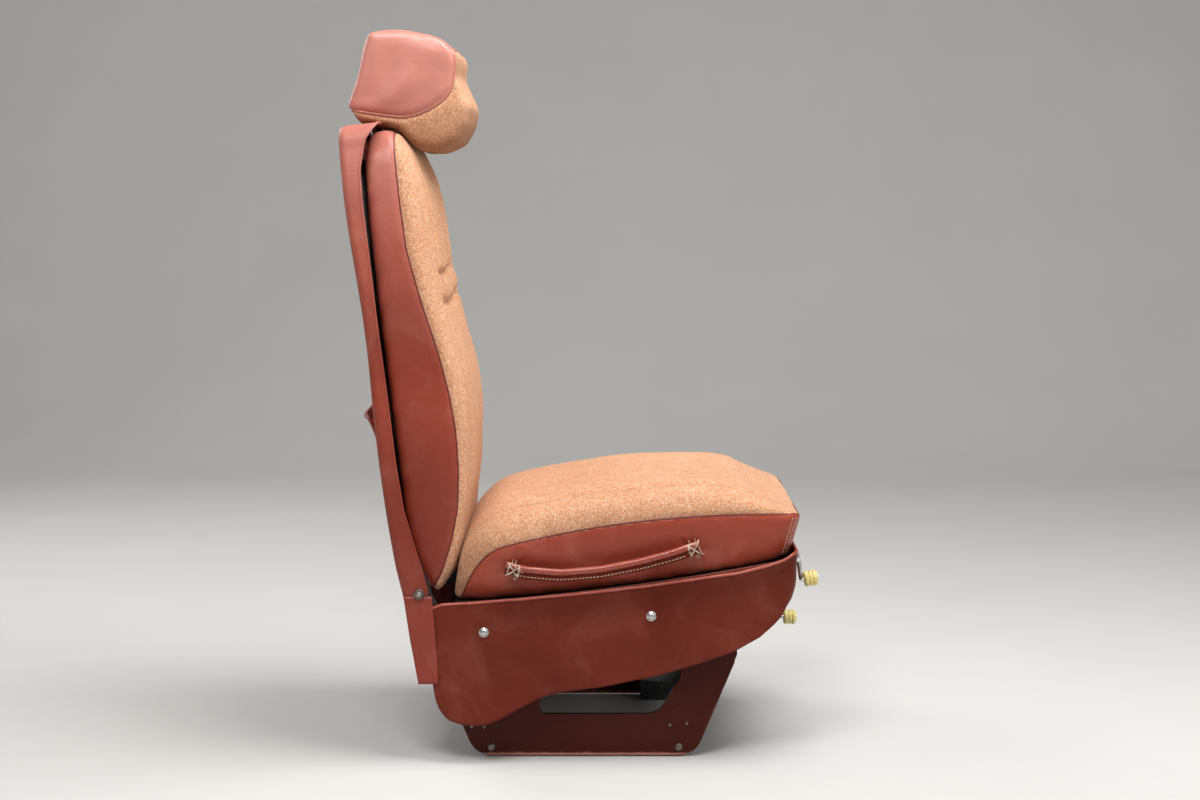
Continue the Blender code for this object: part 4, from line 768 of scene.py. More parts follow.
def seamed(shape, side):
    """Snaps vertices to the line where side(points) is zero, so that a cover can end exactly there.

    On each edge that crosses the line, the nearer end moves to the crossing: p = a + (b - a) · fa / (fa - fb).
    Returns the points, the triangles and the value of side at each point.
    """
    mesh = shape.data
    triangulated(mesh)
    points, value = coordinates(mesh), side(coordinates(mesh))
    edges = mesh_edges(mesh)
    a, b = edges[:, 0], edges[:, 1]
    crossing = value[a] * value[b] < 0
    a, b = a[crossing], b[crossing]
    share = value[a] / (value[a] - value[b])
    at = points[a] + (points[b] - points[a]) * share[:, None]
    nearer = np.where(np.abs(value[a]) <= np.abs(value[b]), a, b)
    total = np.zeros_like(points)
    np.add.at(total, nearer, at)
    hits = np.bincount(nearer, minlength=len(points))
    snapped = hits > 0
    points[snapped] = total[snapped] / hits[snapped][:, None]
    value[snapped] = 0.0
    set_coordinates(mesh, points)
    return points, triangles(mesh), value


def covered(shape, side, name, finish, thickness, clear=0.0002):
    """A leather cover over the part of a padded form where side(points) is positive.

    Its outer face stands thickness off the form along the normals, its inner face lies just on it, and a wall
    joins them round the edge. Returns the cover, and its edges as loops of points and of normals."""
    points, faces, value = seamed(shape, side)
    out = normals(shape.data)
    score = value[faces].sum(1)
    flat = score == 0
    if flat.any():
        score[flat] = side(points[faces[flat]].mean(1))
    kept = faces[score > 0]
    used, packed = np.unique(kept, return_inverse=True)
    kept = packed.reshape(-1, 3)
    size = len(used)
    outer = points[used] + out[used] * thickness
    inner = points[used] + out[used] * clear
    directed = np.concatenate([kept[:, [0, 1]], kept[:, [1, 2]], kept[:, [2, 0]]])
    key = directed[:, 0].astype(np.int64) * size + directed[:, 1]
    back = directed[:, 1].astype(np.int64) * size + directed[:, 0]
    rim = directed[~np.isin(key, back)]
    wall = np.stack([rim[:, 1], rim[:, 0], rim[:, 0] + size, rim[:, 1] + size], 1)
    skin = Skin()
    skin.points = [outer, inner]
    skin.faces = kept.tolist() + (kept[:, ::-1] + size).tolist() + wall.tolist()
    skin.count = 2 * size
    cover = skin.made(name, finish)
    edges = [used[loop] for loop in edge_loops(rim)]
    return cover, [points[edge] for edge in edges], [out[edge] for edge in edges]


def edge_loops(rim):
    """Ordered vertex loops of directed edges, longest first."""
    after = dict(map(tuple, rim.tolist()))
    loops = []
    while after:
        start, step = next(iter(after.items()))
        loop = [start]
        while step != start and step in after:
            loop.append(step)
            step = after.pop(step)
        after.pop(start, None)
        loops.append(loop)
    return sorted(loops, key=len, reverse=True)


def even_loop(points, count, rounds=3):
    """A closed loop with even spacing, smoothed."""
    points = np.vstack([points, points[:1]])
    along = np.concatenate([[0], np.cumsum(np.linalg.norm(np.diff(points, axis=0), axis=1))])
    at = np.linspace(0, along[-1], count, endpoint=False)
    loop = np.stack([np.interp(at, along, points[:, k]) for k in range(3)], 1)
    for _ in range(rounds):
        loop = 0.5 * loop + 0.25 * (np.roll(loop, 1, 0) + np.roll(loop, -1, 0))
    return loop


def seam_welt(name, loop, out, body_piece, radius, lift=0.0, finish="Welt"):
    """Piping along a cover's edge."""
    length_of = np.linalg.norm(np.diff(np.vstack([loop, loop[:1]]), axis=0), axis=1).sum()
    count = max(24, int(length_of / 0.004))
    path = even_loop(loop + out * lift, count)
    around = even_loop(out, count)
    made = welt(name, path, radius, finish, None, around, closed=True)
    made.parent = body_piece
    return made


def polyline_distance(points, line):
    """Signed distance from points (x, z) to a polyline, positive on its left."""
    best = np.full(len(points), 1e9)
    signed = np.zeros(len(points))
    line = np.asarray(line, float)
    for a, b in zip(line[:-1], line[1:]):
        d = b - a
        t = np.clip(((points - a) @ d) / (d @ d), 0, 1)
        gap = points - (a + t[:, None] * d)
        far = np.linalg.norm(gap, axis=1)
        nearer = far < best
        side = np.sign(d[0] * gap[:, 1] - d[1] * gap[:, 0])
        signed[nearer] = (far * side)[nearer]
        best[nearer] = far[nearer]
    return signed


def surface(piece):
    """Search tree of a piece's faces."""
    work = bmesh.new()
    work.from_mesh(piece.data)
    tree = BVHTree.FromBMesh(work)
    work.free()
    return tree


def landed(trees, points, direction, clear):
    """Points moved along a direction onto the first of the surfaces, and clear of it; misses stay put."""
    direction = np.asarray(direction, float)
    spots = []
    for point in np.asarray(points, float):
        hits = [tree.ray_cast(point.tolist(), direction.tolist()) for tree in trees]
        reach = [hit[3] for hit in hits if hit[0] is not None]
        spots.append(point + direction * (min(reach) - clear) if reach else point)
    return np.asarray(spots)


# Seat cushion

CUSHION_REAR, CUSHION_FRONT, CUSHION_HALF = -0.186, 0.3345, 0.2345
SEAT_CROWN = ((0.155, 0.4345), (0.200, 0.4330), (0.235, 0.4280), (0.262, 0.4145), (0.290, 0.3970), (0.315, 0.3875),
              (0.3345, 0.3855))


def seat_line(x):
    """Top of the pan sheet."""
    return 0.2605 + 0.118 * x + 0.13 * x * x


def seam_arch(x):
    return 0.3805 - 0.319 * (x - 0.27) ** 2


def seat_seam(x):
    """Height of the seam between boxing and fabric: a parabola that drops away at the rear corner."""
    x = np.asarray(x, float)
    return seam_arch(x) - 0.062 * (np.maximum(0, -0.118 - x) / 0.071) ** 2.6


def seat_crown(x):
    """Height of the cushion on its middle line."""
    x = np.asarray(x, float)
    return np.where(x < 0.155, 0.4345 - 0.48 * (0.155 - np.minimum(x, 0.155)) ** 2, curve(SEAT_CROWN, x, 0.006))


def seat_cushion_skin():
    """Closed form of the seat cushion: across it z = seam + (crown - seam) · sin(φ)^k with y = -half · cos(φ).

    k grows from 0.55 to 0.80 towards the front, where both corners are rounded in plan. Both ends slant: the lower
    edge stands 17 mm behind the seam in front and 19 mm behind the crown at the rear."""
    x = np.concatenate([np.linspace(CUSHION_REAR, -0.12, 16), np.linspace(-0.11, 0.29, 50),
                        np.linspace(0.295, CUSHION_FRONT, 12)])[:, None]
    angle = np.linspace(0, math.pi, 61)[None, :]
    behind = np.clip((-0.125 - x) / (-0.125 - CUSHION_REAR), 0, 1)
    rounding = 0.036
    ahead = np.clip((x - CUSHION_FRONT + rounding) / rounding, 0, 1)
    keep = 0.62 + 0.38 * np.sqrt(1 - behind ** 2)
    half = CUSHION_HALF - 0.012 * behind ** 3 - 0.034 * (1 - np.sqrt(1 - ahead ** 2))
    base = seat_line(x) + 0.0008
    seam = np.maximum(base + (seam_arch(x) - base) * keep, base + 0.01)
    crown = base + np.maximum(seat_crown(x) - 0.002 * ahead - base, seam - base + 0.002) * keep
    y = -half * np.cos(angle)
    z = seam + (crown - seam) * np.sin(angle) ** (0.55 + 0.25 * ease(x, 0.22, 0.32))
    top = np.stack(np.broadcast_arrays(x, y, z), -1)
    across = np.linspace(1, -1, 30)[None, 1:-1]
    bottom = np.stack(np.broadcast_arrays(x, half * across, base), -1)
    form = np.concatenate([top, bottom], 1)
    height = form[..., 2] - base
    form[..., 0] -= (0.017 * ease(x, 0.25, CUSHION_FRONT) * np.clip(1 - height / 0.066, 0, 1)
                     + 0.019 * ease(-x, 0.115, -CUSHION_REAR) * np.clip(1 - height / 0.110, 0, 1))
    form[..., 2] = np.maximum(form[..., 2], seat_line(form[..., 0]) + 0.0008)
    return Skin().grid(form, close_columns=True, cap_rows=True)


def seat_cushion_forms(points, out):
    """Bolsters, the soft creases inside them, the seam's groove and the pull of the straps' tacks."""
    x, y, z = points.T
    up = np.clip(out[:, 2], 0, 1)
    run = ease(x, -0.19, -0.10) * ease(-x, -0.335, -0.28)
    bolster = 0.0035 * bell(np.abs(y), 0.212, 0.020) * run
    crease = -0.0050 * bell(np.abs(y), 0.1905, 0.0075) * ease(x, -0.20, -0.12) * ease(-x, -0.31, -0.22)
    across = -0.0022 * bell(x, 0.262, 0.010) * ease(-np.abs(y), -0.205, -0.12)
    sag = 0.0012 * np.sin(x * 41 + 3 * np.sin(y * 17)) * np.cos(y * 29) * up
    groove = -0.0020 * bell(z - seat_seam(x), 0.0, 0.0045) * (x > -0.18)
    side = np.clip(np.abs(out[:, 1]) * 1.4 - 0.4, 0, 1)
    pull = np.zeros_like(x)
    for tack_x, tack_z in ((-0.1085, 0.2950), (0.1660, 0.3270)):
        away = np.hypot(x - tack_x, z - tack_z)
        angle = np.arctan2(z - tack_z, x - tack_x)
        rays = np.cos(angle * 7 + 0.7)
        pull -= side * (0.0020 * np.exp(-(away / 0.014) ** 2) + 0.0007 * rays * np.exp(-((away - 0.020) / 0.010) ** 2))
    wrinkle = 0.0009 * np.sin(x * 31 + 5 * np.sin(z * 23)) * side
    return (bolster + crease + across) * up + sag + groove + pull + wrinkle


class SEAT_OT_seat_cushion(bpy.types.Operator):
    """Builds the seat cushion, its leather boxing, welt and corner stitching"""
    bl_idname = "seat.seat_cushion"
    bl_label = "Seat cushion"

    def execute(self, context):
        cushion = padding("seat_cushion_fabric", seat_cushion_skin(), "Tweed", sizes().swell, 2)
        points = coordinates(cushion.data)
        half, rear, front, above_pan = 0.2350, -0.2055, 0.3360, 0.0006
        points[:, 1] = np.clip(points[:, 1], -half, half)
        points[:, 2] = np.maximum(points[:, 2], seat_line(points[:, 0]) + above_pan)
        points[:, 0] = np.clip(points[:, 0], rear, front)
        set_coordinates(cushion.data, points)
        worked(cushion, seat_cushion_forms)

        def side(p):
            dip = 0.008 * ease(p[:, 0], 0.321, 0.333)
            return np.minimum(seat_seam(p[:, 0]) - dip - p[:, 2], p[:, 0] + 0.190)
        boxing, loops, outs = covered(cushion, side, "seat_cushion_boxing", "Leather", sizes().cover_thickness)
        boxing.parent = cushion
        # Painted shadow along the foot of the boxing, in the gap above the skirt.
        painted_shade(boxing, lambda p, out: 0.55 * ease(curve(SKIRT_TOP, p[:, 0], 0.004) + 0.016 - p[:, 2], 0.0, 0.016))
        seam_welt("seat_cushion_welt", loops[0], outs[0], cushion, sizes().welt_radius, 0.0006)
        self.corner_seams(cushion, boxing)
        self.flange(cushion)
        # Painted shade towards the rear under the back, and in the bolster creases.
        painted_shade(cushion, lambda p, out: 0.30 * ease(-p[:, 0], 0.10, 0.19) + 0.25 * bell(np.abs(p[:, 1]), 0.1905, 0.004)
             * ease(out[:, 2], 0.5, 0.9))
        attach(cushion, "pan")
        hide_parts("seat_cushion")
        return {"FINISHED"}

    def flange(self, cushion):
        """Leather that runs on from the boxing down over the pan's turned edge, behind the skirt."""
        half, front = 0.2366, 0.3146
        x = np.linspace(-0.196, 0.309, 60)
        across = np.linspace(-1, 1, 30)[1:-1]
        line = np.vstack([np.stack([x, 0 * x - half], 1), np.stack([0 * across + front, half * across], 1),
                          np.stack([x[::-1], 0 * x + half], 1)])
        drop = np.array((0.0035, -0.001, -0.006, -0.013))[None, :]
        base = seat_line(np.minimum(line[:, 0], 0.312))[:, None] + drop
        strip = Skin().grid(np.stack([line[:, :1] + 0 * base, line[:, 1:] + 0 * base, base], -1))
        # Dark leather with painted shade, where it sits in the shade behind the skirt.
        strip = strip.made("boxing_flange", "Skirt leather")
        sheet(strip, away_from(0.0), 0.0008, "Skirt leather", 1.0)
        strip.parent = cushion

    def corner_seams(self, cushion, boxing):
        """Two rows of stitches down the boxing beside each front corner, which follow its slant."""
        tree = surface(boxing)
        share = np.linspace(0, 1, 40)
        for side, sign in SIDES:
            lines = [np.stack([0.3225 - back - 0.0155 * share, 0 * share + sign * 0.30, 0.3745 - 0.060 * share], 1)
                     for back in (0.0, 0.0052)]
            lines = [landed((tree,), line, (0.0, -sign, 0.0), 0.0002) for line in lines]
            rows = stitched("boxing_stitches_" + side, lines, 0.0050, 0.0034, (0.0, sign, 0.0), None)
            rows.parent = cushion


# Back cushion

BACK_HALF, BACK_TOP = 0.2215, 0.7045
UPPER_TUCK, LOWER_TUCK = 0.478, 0.432


def back_half(s):
    return BACK_HALF - 0.040 * (np.maximum(0, np.asarray(s, float) - 0.42) / 0.2845) ** 2


def back_rear(s):
    """Rear face of the back cushion."""
    s = np.asarray(s, float)
    return -0.0112 + 0.3 * np.maximum(0, s - 0.55) ** 2 + 1.6 * np.maximum(0, 0.12 - s) ** 2


def back_cushion_skin():
    """Closed form of the back cushion: n = seam + (front - seam) · sin(φ)^0.42 across it, with y = -half · cos(φ)."""
    s = np.concatenate([np.linspace(-0.009, 0.03, 9), np.linspace(0.04, 0.66, 60), np.linspace(0.668, BACK_TOP, 12)])
    s = s[:, None]
    angle = np.linspace(0, math.pi, 71)[None, :]
    top = np.clip((s - 0.655) / (BACK_TOP - 0.655), 0, 1)
    low = np.clip((0.035 - s) / 0.044, 0, 1)
    half = back_half(s) - 0.030 * (1 - np.sqrt(1 - top ** 2)) - 0.006 * low ** 2
    rear = back_rear(s) + 0.012 * (1 - np.sqrt(1 - top ** 2))
    seam = np.maximum(curve(BACK_SEAM, s) - 0.010 * top ** 3, rear + 0.012)
    front = np.maximum(curve(BACK_FRONT, s), seam + 0.002)
    y = -half * np.cos(angle)
    n = seam + (front - seam) * np.sin(angle) ** 0.42
    fore = lean(n, y, s)
    across = np.linspace(1, -1, 40)[None, :]
    inset = 0.004 * np.abs(across) ** 8
    aft = lean(rear + inset, (half - 0.003) * across, s)
    return Skin().grid(np.concatenate([fore, aft], 1), close_columns=True, cap_rows=True)


def back_crease(s):
    """Where across the back the crease between bolster and centre panel runs at height s."""
    return 0.150 - 0.022 * ease(s, 0.45, 0.70) + 0.012 * ease(-s, -0.16, -0.02)


def centre_panel(y, s):
    """1 between the bolsters' creases and 0 on the bolsters."""
    return ease(-np.abs(y), -back_crease(s) - 0.010, -back_crease(s) + 0.022)


def tuck_wave(y):
    """How the tucks wander up and down across the back."""
    return 0.004 * np.sin(y * 21)


def back_cushion_forms(points, out):
    """Bolster creases, two pinched tucks across the centre panel, the seam's groove and loose folds."""
    n, y, s = back_frame(points)
    facing = np.clip(out[:, 0], 0, 1)
    inside = centre_panel(y, s)
    crease = -0.0060 * bell(np.abs(y), back_crease(s), 0.0100) * ease(s, 0.02, 0.10) * ease(-s, -0.70, -0.62)
    band = np.zeros_like(s)
    for tuck, depth in ((UPPER_TUCK, 0.0080), (LOWER_TUCK, 0.0075)):
        band -= depth * bell(s, tuck + tuck_wave(y), 0.0075) * inside
    band += 0.0012 * bell(s, 0.454, 0.010) * inside
    pucker = 0.0012 * np.sin(y * 190 + 3 * np.sin(y * 31)) * (bell(s, 0.478, 0.022) + bell(s, 0.430, 0.022)) * inside
    streak = 0.0014 * np.sin(np.abs(y) * 150 + 2 * np.sin(s * 13)) * facing * bell(s, 0.5, 0.2)
    seam = curve(BACK_SEAM, s)
    groove = -0.0022 * bell(n - seam, 0.0, 0.0045)
    wide = 0.0011 * np.sin(s * 37 + 4 * np.sin(y * 13)) * facing
    flank = np.clip(np.abs(out[:, 1]) * 1.4 - 0.4, 0, 1)
    leather = 0.0012 * np.sin(s * 23 + 1.2 + 30 * n) * flank
    return (crease + band + pucker + streak + wide) * facing + groove + leather


class SEAT_OT_back_cushion(bpy.types.Operator):
    """Builds the back cushion, its leather sides and top, and the welt between them"""
    bl_idname = "seat.back_cushion"
    bl_label = "Back cushion"

    def shade_amount(self, points, out):
        """Painted shade: darker in the tucks, along the bolster creases and where the back meets the seat."""
        _, y, s = back_frame(points)
        tucks = sum(bell(s, tuck + tuck_wave(y), 0.004) for tuck in (UPPER_TUCK, LOWER_TUCK)) * centre_panel(y, s)
        crease = bell(np.abs(y), back_crease(s), 0.004) * ease(s, 0.02, 0.10)
        return (0.40 * tucks + 0.22 * crease) * np.clip(out[:, 0], 0, 1) + 0.30 * ease(-s, -0.13, 0.0)

    def execute(self, context):
        cushion = padding("back_cushion_fabric", back_cushion_skin(), "Tweed", sizes().swell)
        n, y, s = back_frame(coordinates(cushion.data))
        n = np.maximum(n, back_rear(s) - 0.0005)
        half = BACK_HALF + 0.002
        y = np.clip(y, -half, half)
        set_coordinates(cushion.data, lean(n, y, s))
        worked(cushion, back_cushion_forms)

        def side(p):
            pn, _, ps = back_frame(p)
            return curve(BACK_SEAM, ps) - pn
        sides, loops, outs = covered(cushion, side, "back_cushion_leather", "Back leather", sizes().cover_thickness)
        sides.parent = cushion
        seam_welt("back_cushion_welt", loops[0], outs[0], cushion, sizes().welt_radius, 0.0006)
        # Painted shade in the tucks, the creases and at the foot of the back.
        painted_shade(cushion, self.shade_amount)
        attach(cushion, "back")
        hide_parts("back_cushion")
        return {"FINISHED"}


# Headrest

HEAD_HALF = 0.1285
HEAD_MIDDLE = (-0.268, 1.030)


def headrest_skin():
    """Closed form of the headrest: its outline carried across, drawn in round the edge of each side panel."""
    outline = resampled(HEAD_OUTLINE, 110, closed=True, reach=4)
    middle = np.asarray(HEAD_MIDDLE)
    boxy = ease(polyline_distance(outline, resampled(HOOD_SEAM, 60)), -0.028, -0.004)
    share = np.concatenate([-1 + 0.16 * (1 - np.cos(np.linspace(0, math.pi / 2, 9))), np.linspace(-0.80, 0.80, 17),
                            1 - 0.16 * (1 - np.cos(np.linspace(math.pi / 2, 0, 9)))])
    edge = np.clip((np.abs(share) - 0.84) / 0.16, 0, 1)
    drawn = (0.17 - 0.135 * boxy)[None, :] * (1 - np.sqrt(1 - edge ** 2))[:, None]
    size = 1.0 - drawn - 0.008 * (share ** 2)[:, None]
    rings = middle + (outline[None] - middle) * size[..., None]
    y = np.broadcast_to((share * HEAD_HALF)[:, None], rings.shape[:2])
    return Skin().grid(np.stack([rings[..., 0], y, rings[..., 1]], -1), close_columns=True, cap_rows=True)


def hood_side(points):
    """Distance above the hood's seam, seen from the side."""
    return polyline_distance(points[:, [0, 2]], resampled(HOOD_SEAM, 60))


def headrest_forms(points, out):
    """The seam's groove, the roll's fullness below it and slack diagonal folds in the hood."""
    x, y, z = points.T
    above = hood_side(points)
    hood = ease(above, 0.004, 0.03)
    flank = np.clip(np.abs(out[:, 1]) * 1.5 - 0.5, 0, 1)
    across = (x + 0.283) * math.sin(0.92) - (z - 1.034) * math.cos(0.92)
    along = (x + 0.283) * math.cos(0.92) + (z - 1.034) * math.sin(0.92)
    reach = ease(-along, -0.045, 0.030) * hood * flank
    folds = (0.0040 * bell(across, 0.0, 0.013) - 0.0030 * bell(across, -0.030, 0.017)
             - 0.0026 * bell(across, 0.032, 0.017)) * reach
    folds += 0.0011 * np.sin(across * 75 + 1.4 * np.sin(along * 40)) * hood * flank
    dish = -0.0014 * bell(np.hypot(x + 0.262, (z - 1.062) * 1.1), 0.0, 0.040) * flank
    roll = 0.0015 * ease(-above, 0.004, 0.026) * np.clip(1.2 - flank, 0, 1)
    groove = -0.0032 * bell(above, 0.0, 0.0050)
    ripple = 0.0010 * np.sin(y * 60 + x * 40) * (1 - flank)
    return folds + dish + roll + groove + ripple


class SEAT_OT_headrest(bpy.types.Operator):
    """Builds the headrest's fabric roll, its leather hood and the welt round it"""
    bl_idname = "seat.headrest"
    bl_label = "Headrest"

    def execute(self, context):
        pad = padding("headrest_fabric", headrest_skin(), "Tweed", 0.6 * sizes().swell, 2, 0.0034)
        worked(pad, headrest_forms)
        hood, loops, outs = covered(pad, hood_side, "headrest_hood", "Hood leather with painted light", 0.0016)
        hood.parent = pad
        seam_welt("headrest_welt", loops[0], outs[0], pad, 0.0019, 0.0012, "Hood leather with painted light")
        # Painted shade on the downward-facing underside of the roll.
        painted_shade(pad, lambda p, out: 0.72 * ease(0.45 - out[:, 2], 0.0, 1.0) * ease(-hood_side(p), -0.004, 0.02))
        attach(pad, "headrest")
        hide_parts("headrest_pad")
        return {"FINISHED"}


# Back cover

COVER_TOP, COVER_LOW = 0.716, -0.004


def cover_rear(s):
    return curve(COVER_REAR, s, 0.02)


def cover_half(s):
    return 0.248 - 0.043 * (np.maximum(0, np.asarray(s, float) - 0.42) / (COVER_TOP - 0.42)) ** 2


def cover_lip(y, s):
    """Front edge of the cover's flange: the measured lip at the sides, and straight across the top."""
    return np.where(np.abs(y) < 0.16, 0.020, curve(COVER_LIP, s, 0.004))


def cover_wave(s):
    """Slack of the flange at its front edge: a sine that fades out towards the top, as a share of the half width."""
    return 0.0016 * np.sin(s * 30 + 2.0) * ease(-s, -0.66, -0.60) / 0.24


def cover_border(t):
    """Edge of the back cover as (y, s): up the right side, round the top corners, and down the left side.

    t runs from -1 to 1 along it; both halves are the same with y turned round."""
    up = np.linspace(COVER_LOW, COVER_TOP - 0.03, 60)
    side = np.stack([cover_half(up), up], 1)
    turn = np.linspace(0, math.pi / 2, 14)[1:]
    corner = side[-1, 0] - 0.03
    arc = np.stack([corner + 0.03 * np.cos(turn), COVER_TOP - 0.03 + 0.03 * np.sin(turn)], 1)
    line = np.vstack([side, arc, [[0.0, COVER_TOP]]])
    along = np.concatenate([[0], np.cumsum(np.linalg.norm(np.diff(line, axis=0), axis=1))])
    at = (1 - np.abs(t)) * along[-1]
    y = np.interp(at, along, line[:, 0]) * np.sign(t)
    return y, np.interp(at, along, line[:, 1])


def cover_skin():
    """Thin shell: a flange carried round the border, a quarter-round bend, and a face lofted to the middle line."""
    t = np.linspace(-1, 1, 241)
    y, s = cover_border(t)
    bend = 0.011
    rear, lip = cover_rear(s), cover_lip(y, s)
    rows = [lean(lip + (rear + bend - lip) * share, y * (1 + cover_wave(s) * (1 - share)), s)
            for share in np.linspace(0, 1, 9)]
    inner = np.minimum(s, 0.56)
    away = np.hypot(y, s - inner)
    for angle in np.linspace(0, math.pi / 2, 7)[1:]:
        step = bend * (1 - math.cos(angle)) / np.maximum(away, 1e-6)
        rows.append(lean(rear + bend * (1 - math.sin(angle)), y * (1 - step), s + (inner - s) * step))
    start = bend / np.maximum(away, 1e-6)
    for share in np.linspace(0, 1, 22)[1:]:
        at = start + (1 - start) * share
        now = s + (inner - s) * at
        sag = 0.0016 * np.sin(now * 17 + 1.0) * np.sin(math.pi * np.minimum(1, at))
        rows.append(lean(cover_rear(now) + sag, y * (1 - at), now))
    return Skin().grid(np.stack(rows))


def walled(shape, thickness, offset=-1.0):
    """Gives a sheet its thickness."""
    modifier = shape.modifiers.new("Thickness", "SOLIDIFY")
    modifier.thickness = thickness
    modifier.offset = offset
    modifier.use_even_offset = True
    apply_modifiers(shape)
    shape.data.shade_smooth()


def oriented(shape, outside):
    """Turns a sheet's faces so that outside(points) says which way is out."""
    work = bmesh.new()
    work.from_mesh(shape.data)
    bmesh.ops.remove_doubles(work, verts=work.verts, dist=1e-5)
    bmesh.ops.dissolve_degenerate(work, dist=1e-6, edges=work.edges)
    bmesh.ops.recalc_face_normals(work, faces=work.faces)
    work.normal_update()
    centres = np.array([f.calc_center_median() for f in work.faces])
    facing = np.array([f.normal for f in work.faces])
    area = np.array([f.calc_area() for f in work.faces])
    if ((facing * outside(centres)).sum(1) * area).sum() < 0:
        bmesh.ops.reverse_faces(work, faces=work.faces)
    work.to_mesh(shape.data)
    work.free()
    shape.data.update()
    shape.data.shade_smooth()


def towards(*way):
    """A rule for oriented: out is the same direction everywhere."""
    return lambda points: np.tile(way, (len(points), 1))


def away_from(x):
    """A rule for oriented: out is level and away from the middle of the seat at x, sideways more than lengthwise."""
    return lambda points: np.stack([points[:, 0] - x, points[:, 1] * 3, 0 * points[:, 2]], 1)


def sheet(shape, outside, thickness, finish, offset=-1.0):
    """Turns an open surface into leather of that thickness."""
    oriented(shape, outside)
    walled(shape, thickness, offset)
    dress(shape, finish)


class SEAT_OT_back_cover(bpy.types.Operator):
    """Builds the leather back cover with its side strips, rolled edge, stitching and map pocket"""
    bl_idname = "seat.back_cover"
    bl_label = "Back cover"

    def execute(self, context):
        cover = cover_skin().made("back_cover_leather", "Cover leather")

        def outside(p):
            sideways = np.sign(p[:, 1]) * (np.abs(p[:, 1]) > 0.19)
            return np.stack([np.full(len(p), -1.0), sideways, np.zeros(len(p))], 1)
        sheet(cover, outside, 0.0022, "Cover leather")
        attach(cover, "back")
        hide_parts("back_cover")
        y, s = cover_border(np.linspace(-0.9995, 0.9995, 260))
        path = lean(cover_lip(y, s), y * (1 + cover_wave(s)) - np.sign(y) * 0.0011, s)
        welt("back_cover_edge", path, 0.0019, "Cover leather", "back", (0.0, 0.0, 1.0))
        self.pocket()
        return {"FINISHED"}

    def lift(self, u, v):
        """How far the pocket stands off the cover: it bows out in the middle, and its top corners flare."""
        u, v = np.asarray(u, float), np.asarray(v, float)
        return 0.0026 + 0.0150 * v ** 1.8 * (1 - np.abs(u) ** 3) + 0.0125 * v ** 6

    def rise(self, v):
        """Height on the back of the share v of the pocket, from its foot to its top edge."""
        return 0.075 + 0.192 * v

    def gather(self, u):
        """Small gathers of the pocket's top edge."""
        return 0.0011 * np.sin(u * 62 + 2 * np.sin(u * 11))

    def gussets(self):
        """Folded strips that join the pocket's sides to the cover, bowed in between them by a half sine."""
        v = np.linspace(0, 1, 31)[:, None]
        w = np.linspace(0, 1, 7)[None, :]
        for side, sign in SIDES:
            off = self.lift(1.0, v) * (1 - w) + 0.0003 * w
            y = sign * (0.1685 - 0.003 * v - 0.006 * v ** 4 * np.sin(math.pi * w))
            strip = Skin().grid(lean(cover_rear(self.rise(v)) - off, y, self.rise(v) + 0 * w))
            strip = strip.made("map_pocket_gusset_" + side, "Cover leather")
            sheet(strip, towards(0.0, sign, 0.0), 0.0008, "Cover leather")
            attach(strip, "back")

    def pocket(self):
        """Map pocket: a slack panel that stands off the cover at its gathered top edge."""
        u = np.linspace(-1, 1, 81)[:, None]
        v = np.linspace(0, 1, 31)[None, :]
        n = cover_rear(self.rise(v)) - self.lift(u, v) - self.gather(u) * v ** 3
        panel = Skin().grid(lean(n, (0.169 - 0.003 * v) * u, self.rise(v))).made("map_pocket_panel", "Cover leather")
        sheet(panel, towards(-1.0, 0.0, 0.0), 0.0014, "Cover leather")
        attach(panel, "back")
        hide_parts("map_pocket")
        line, top = np.linspace(-1, 1, 120), self.rise(1.0)
        edge = lean(cover_rear(top) - self.lift(line, 1.0) - self.gather(line) + 0.0006, 0.166 * line, top + 0 * line)
        welt("map_pocket_edge", edge, 0.0024, "Hem leather", "back", (0.0, 0.0, 1.0), sides=10)
        self.gussets()
        low = np.linspace(0, 0.8, 60)
        right = lean(cover_rear(self.rise(low)) - self.lift(-1.0, low) - 0.0003, -0.1645 + 0.003 * low, self.rise(low))
        hem = 0.081
        foot = lean(cover_rear(hem) - self.lift(0.0, 0.03) - 0.0002, np.linspace(-0.163, 0.163, 60), hem)
        stitched("map_pocket_stitches", (right, right * (1, -1, 1), foot), sizes().stitch_pitch, sizes().stitch_length,
                 (-1.0, 0.0, 0.0), "back")


# Skirt, apron and straps

def skirt_path():
    """Plan of the skirt as (x, y): along the right side, round the front corner, across, and back on the left."""
    side, front, rear, turn = 0.2440, 0.3240, -0.2345, 0.024
    x = rear + (front - turn - rear) * (1 - np.cos(np.linspace(0, math.pi / 2, 70))) ** 0.9
    right = np.stack([x, np.full_like(x, -side)], 1)
    angle = np.linspace(-math.pi / 2, 0, 14)[1:]
    arc = np.stack([front - turn + turn * np.cos(angle), -side + turn + turn * np.sin(angle)], 1)
    y = np.linspace(-side + turn, 0, 40)[1:]
    across = np.stack([np.full_like(y, front), y], 1)
    half = np.vstack([right, arc, across])
    return np.vstack([half, half[-2::-1] * (1, -1)])


def skirt_edges(path):
    """Heights of the skirt's lower and upper edge at each point of its plan."""
    x = path[:, 0]
    return curve(SKIRT_BOTTOM, x, 0.003), curve(SKIRT_TOP, x, 0.004)


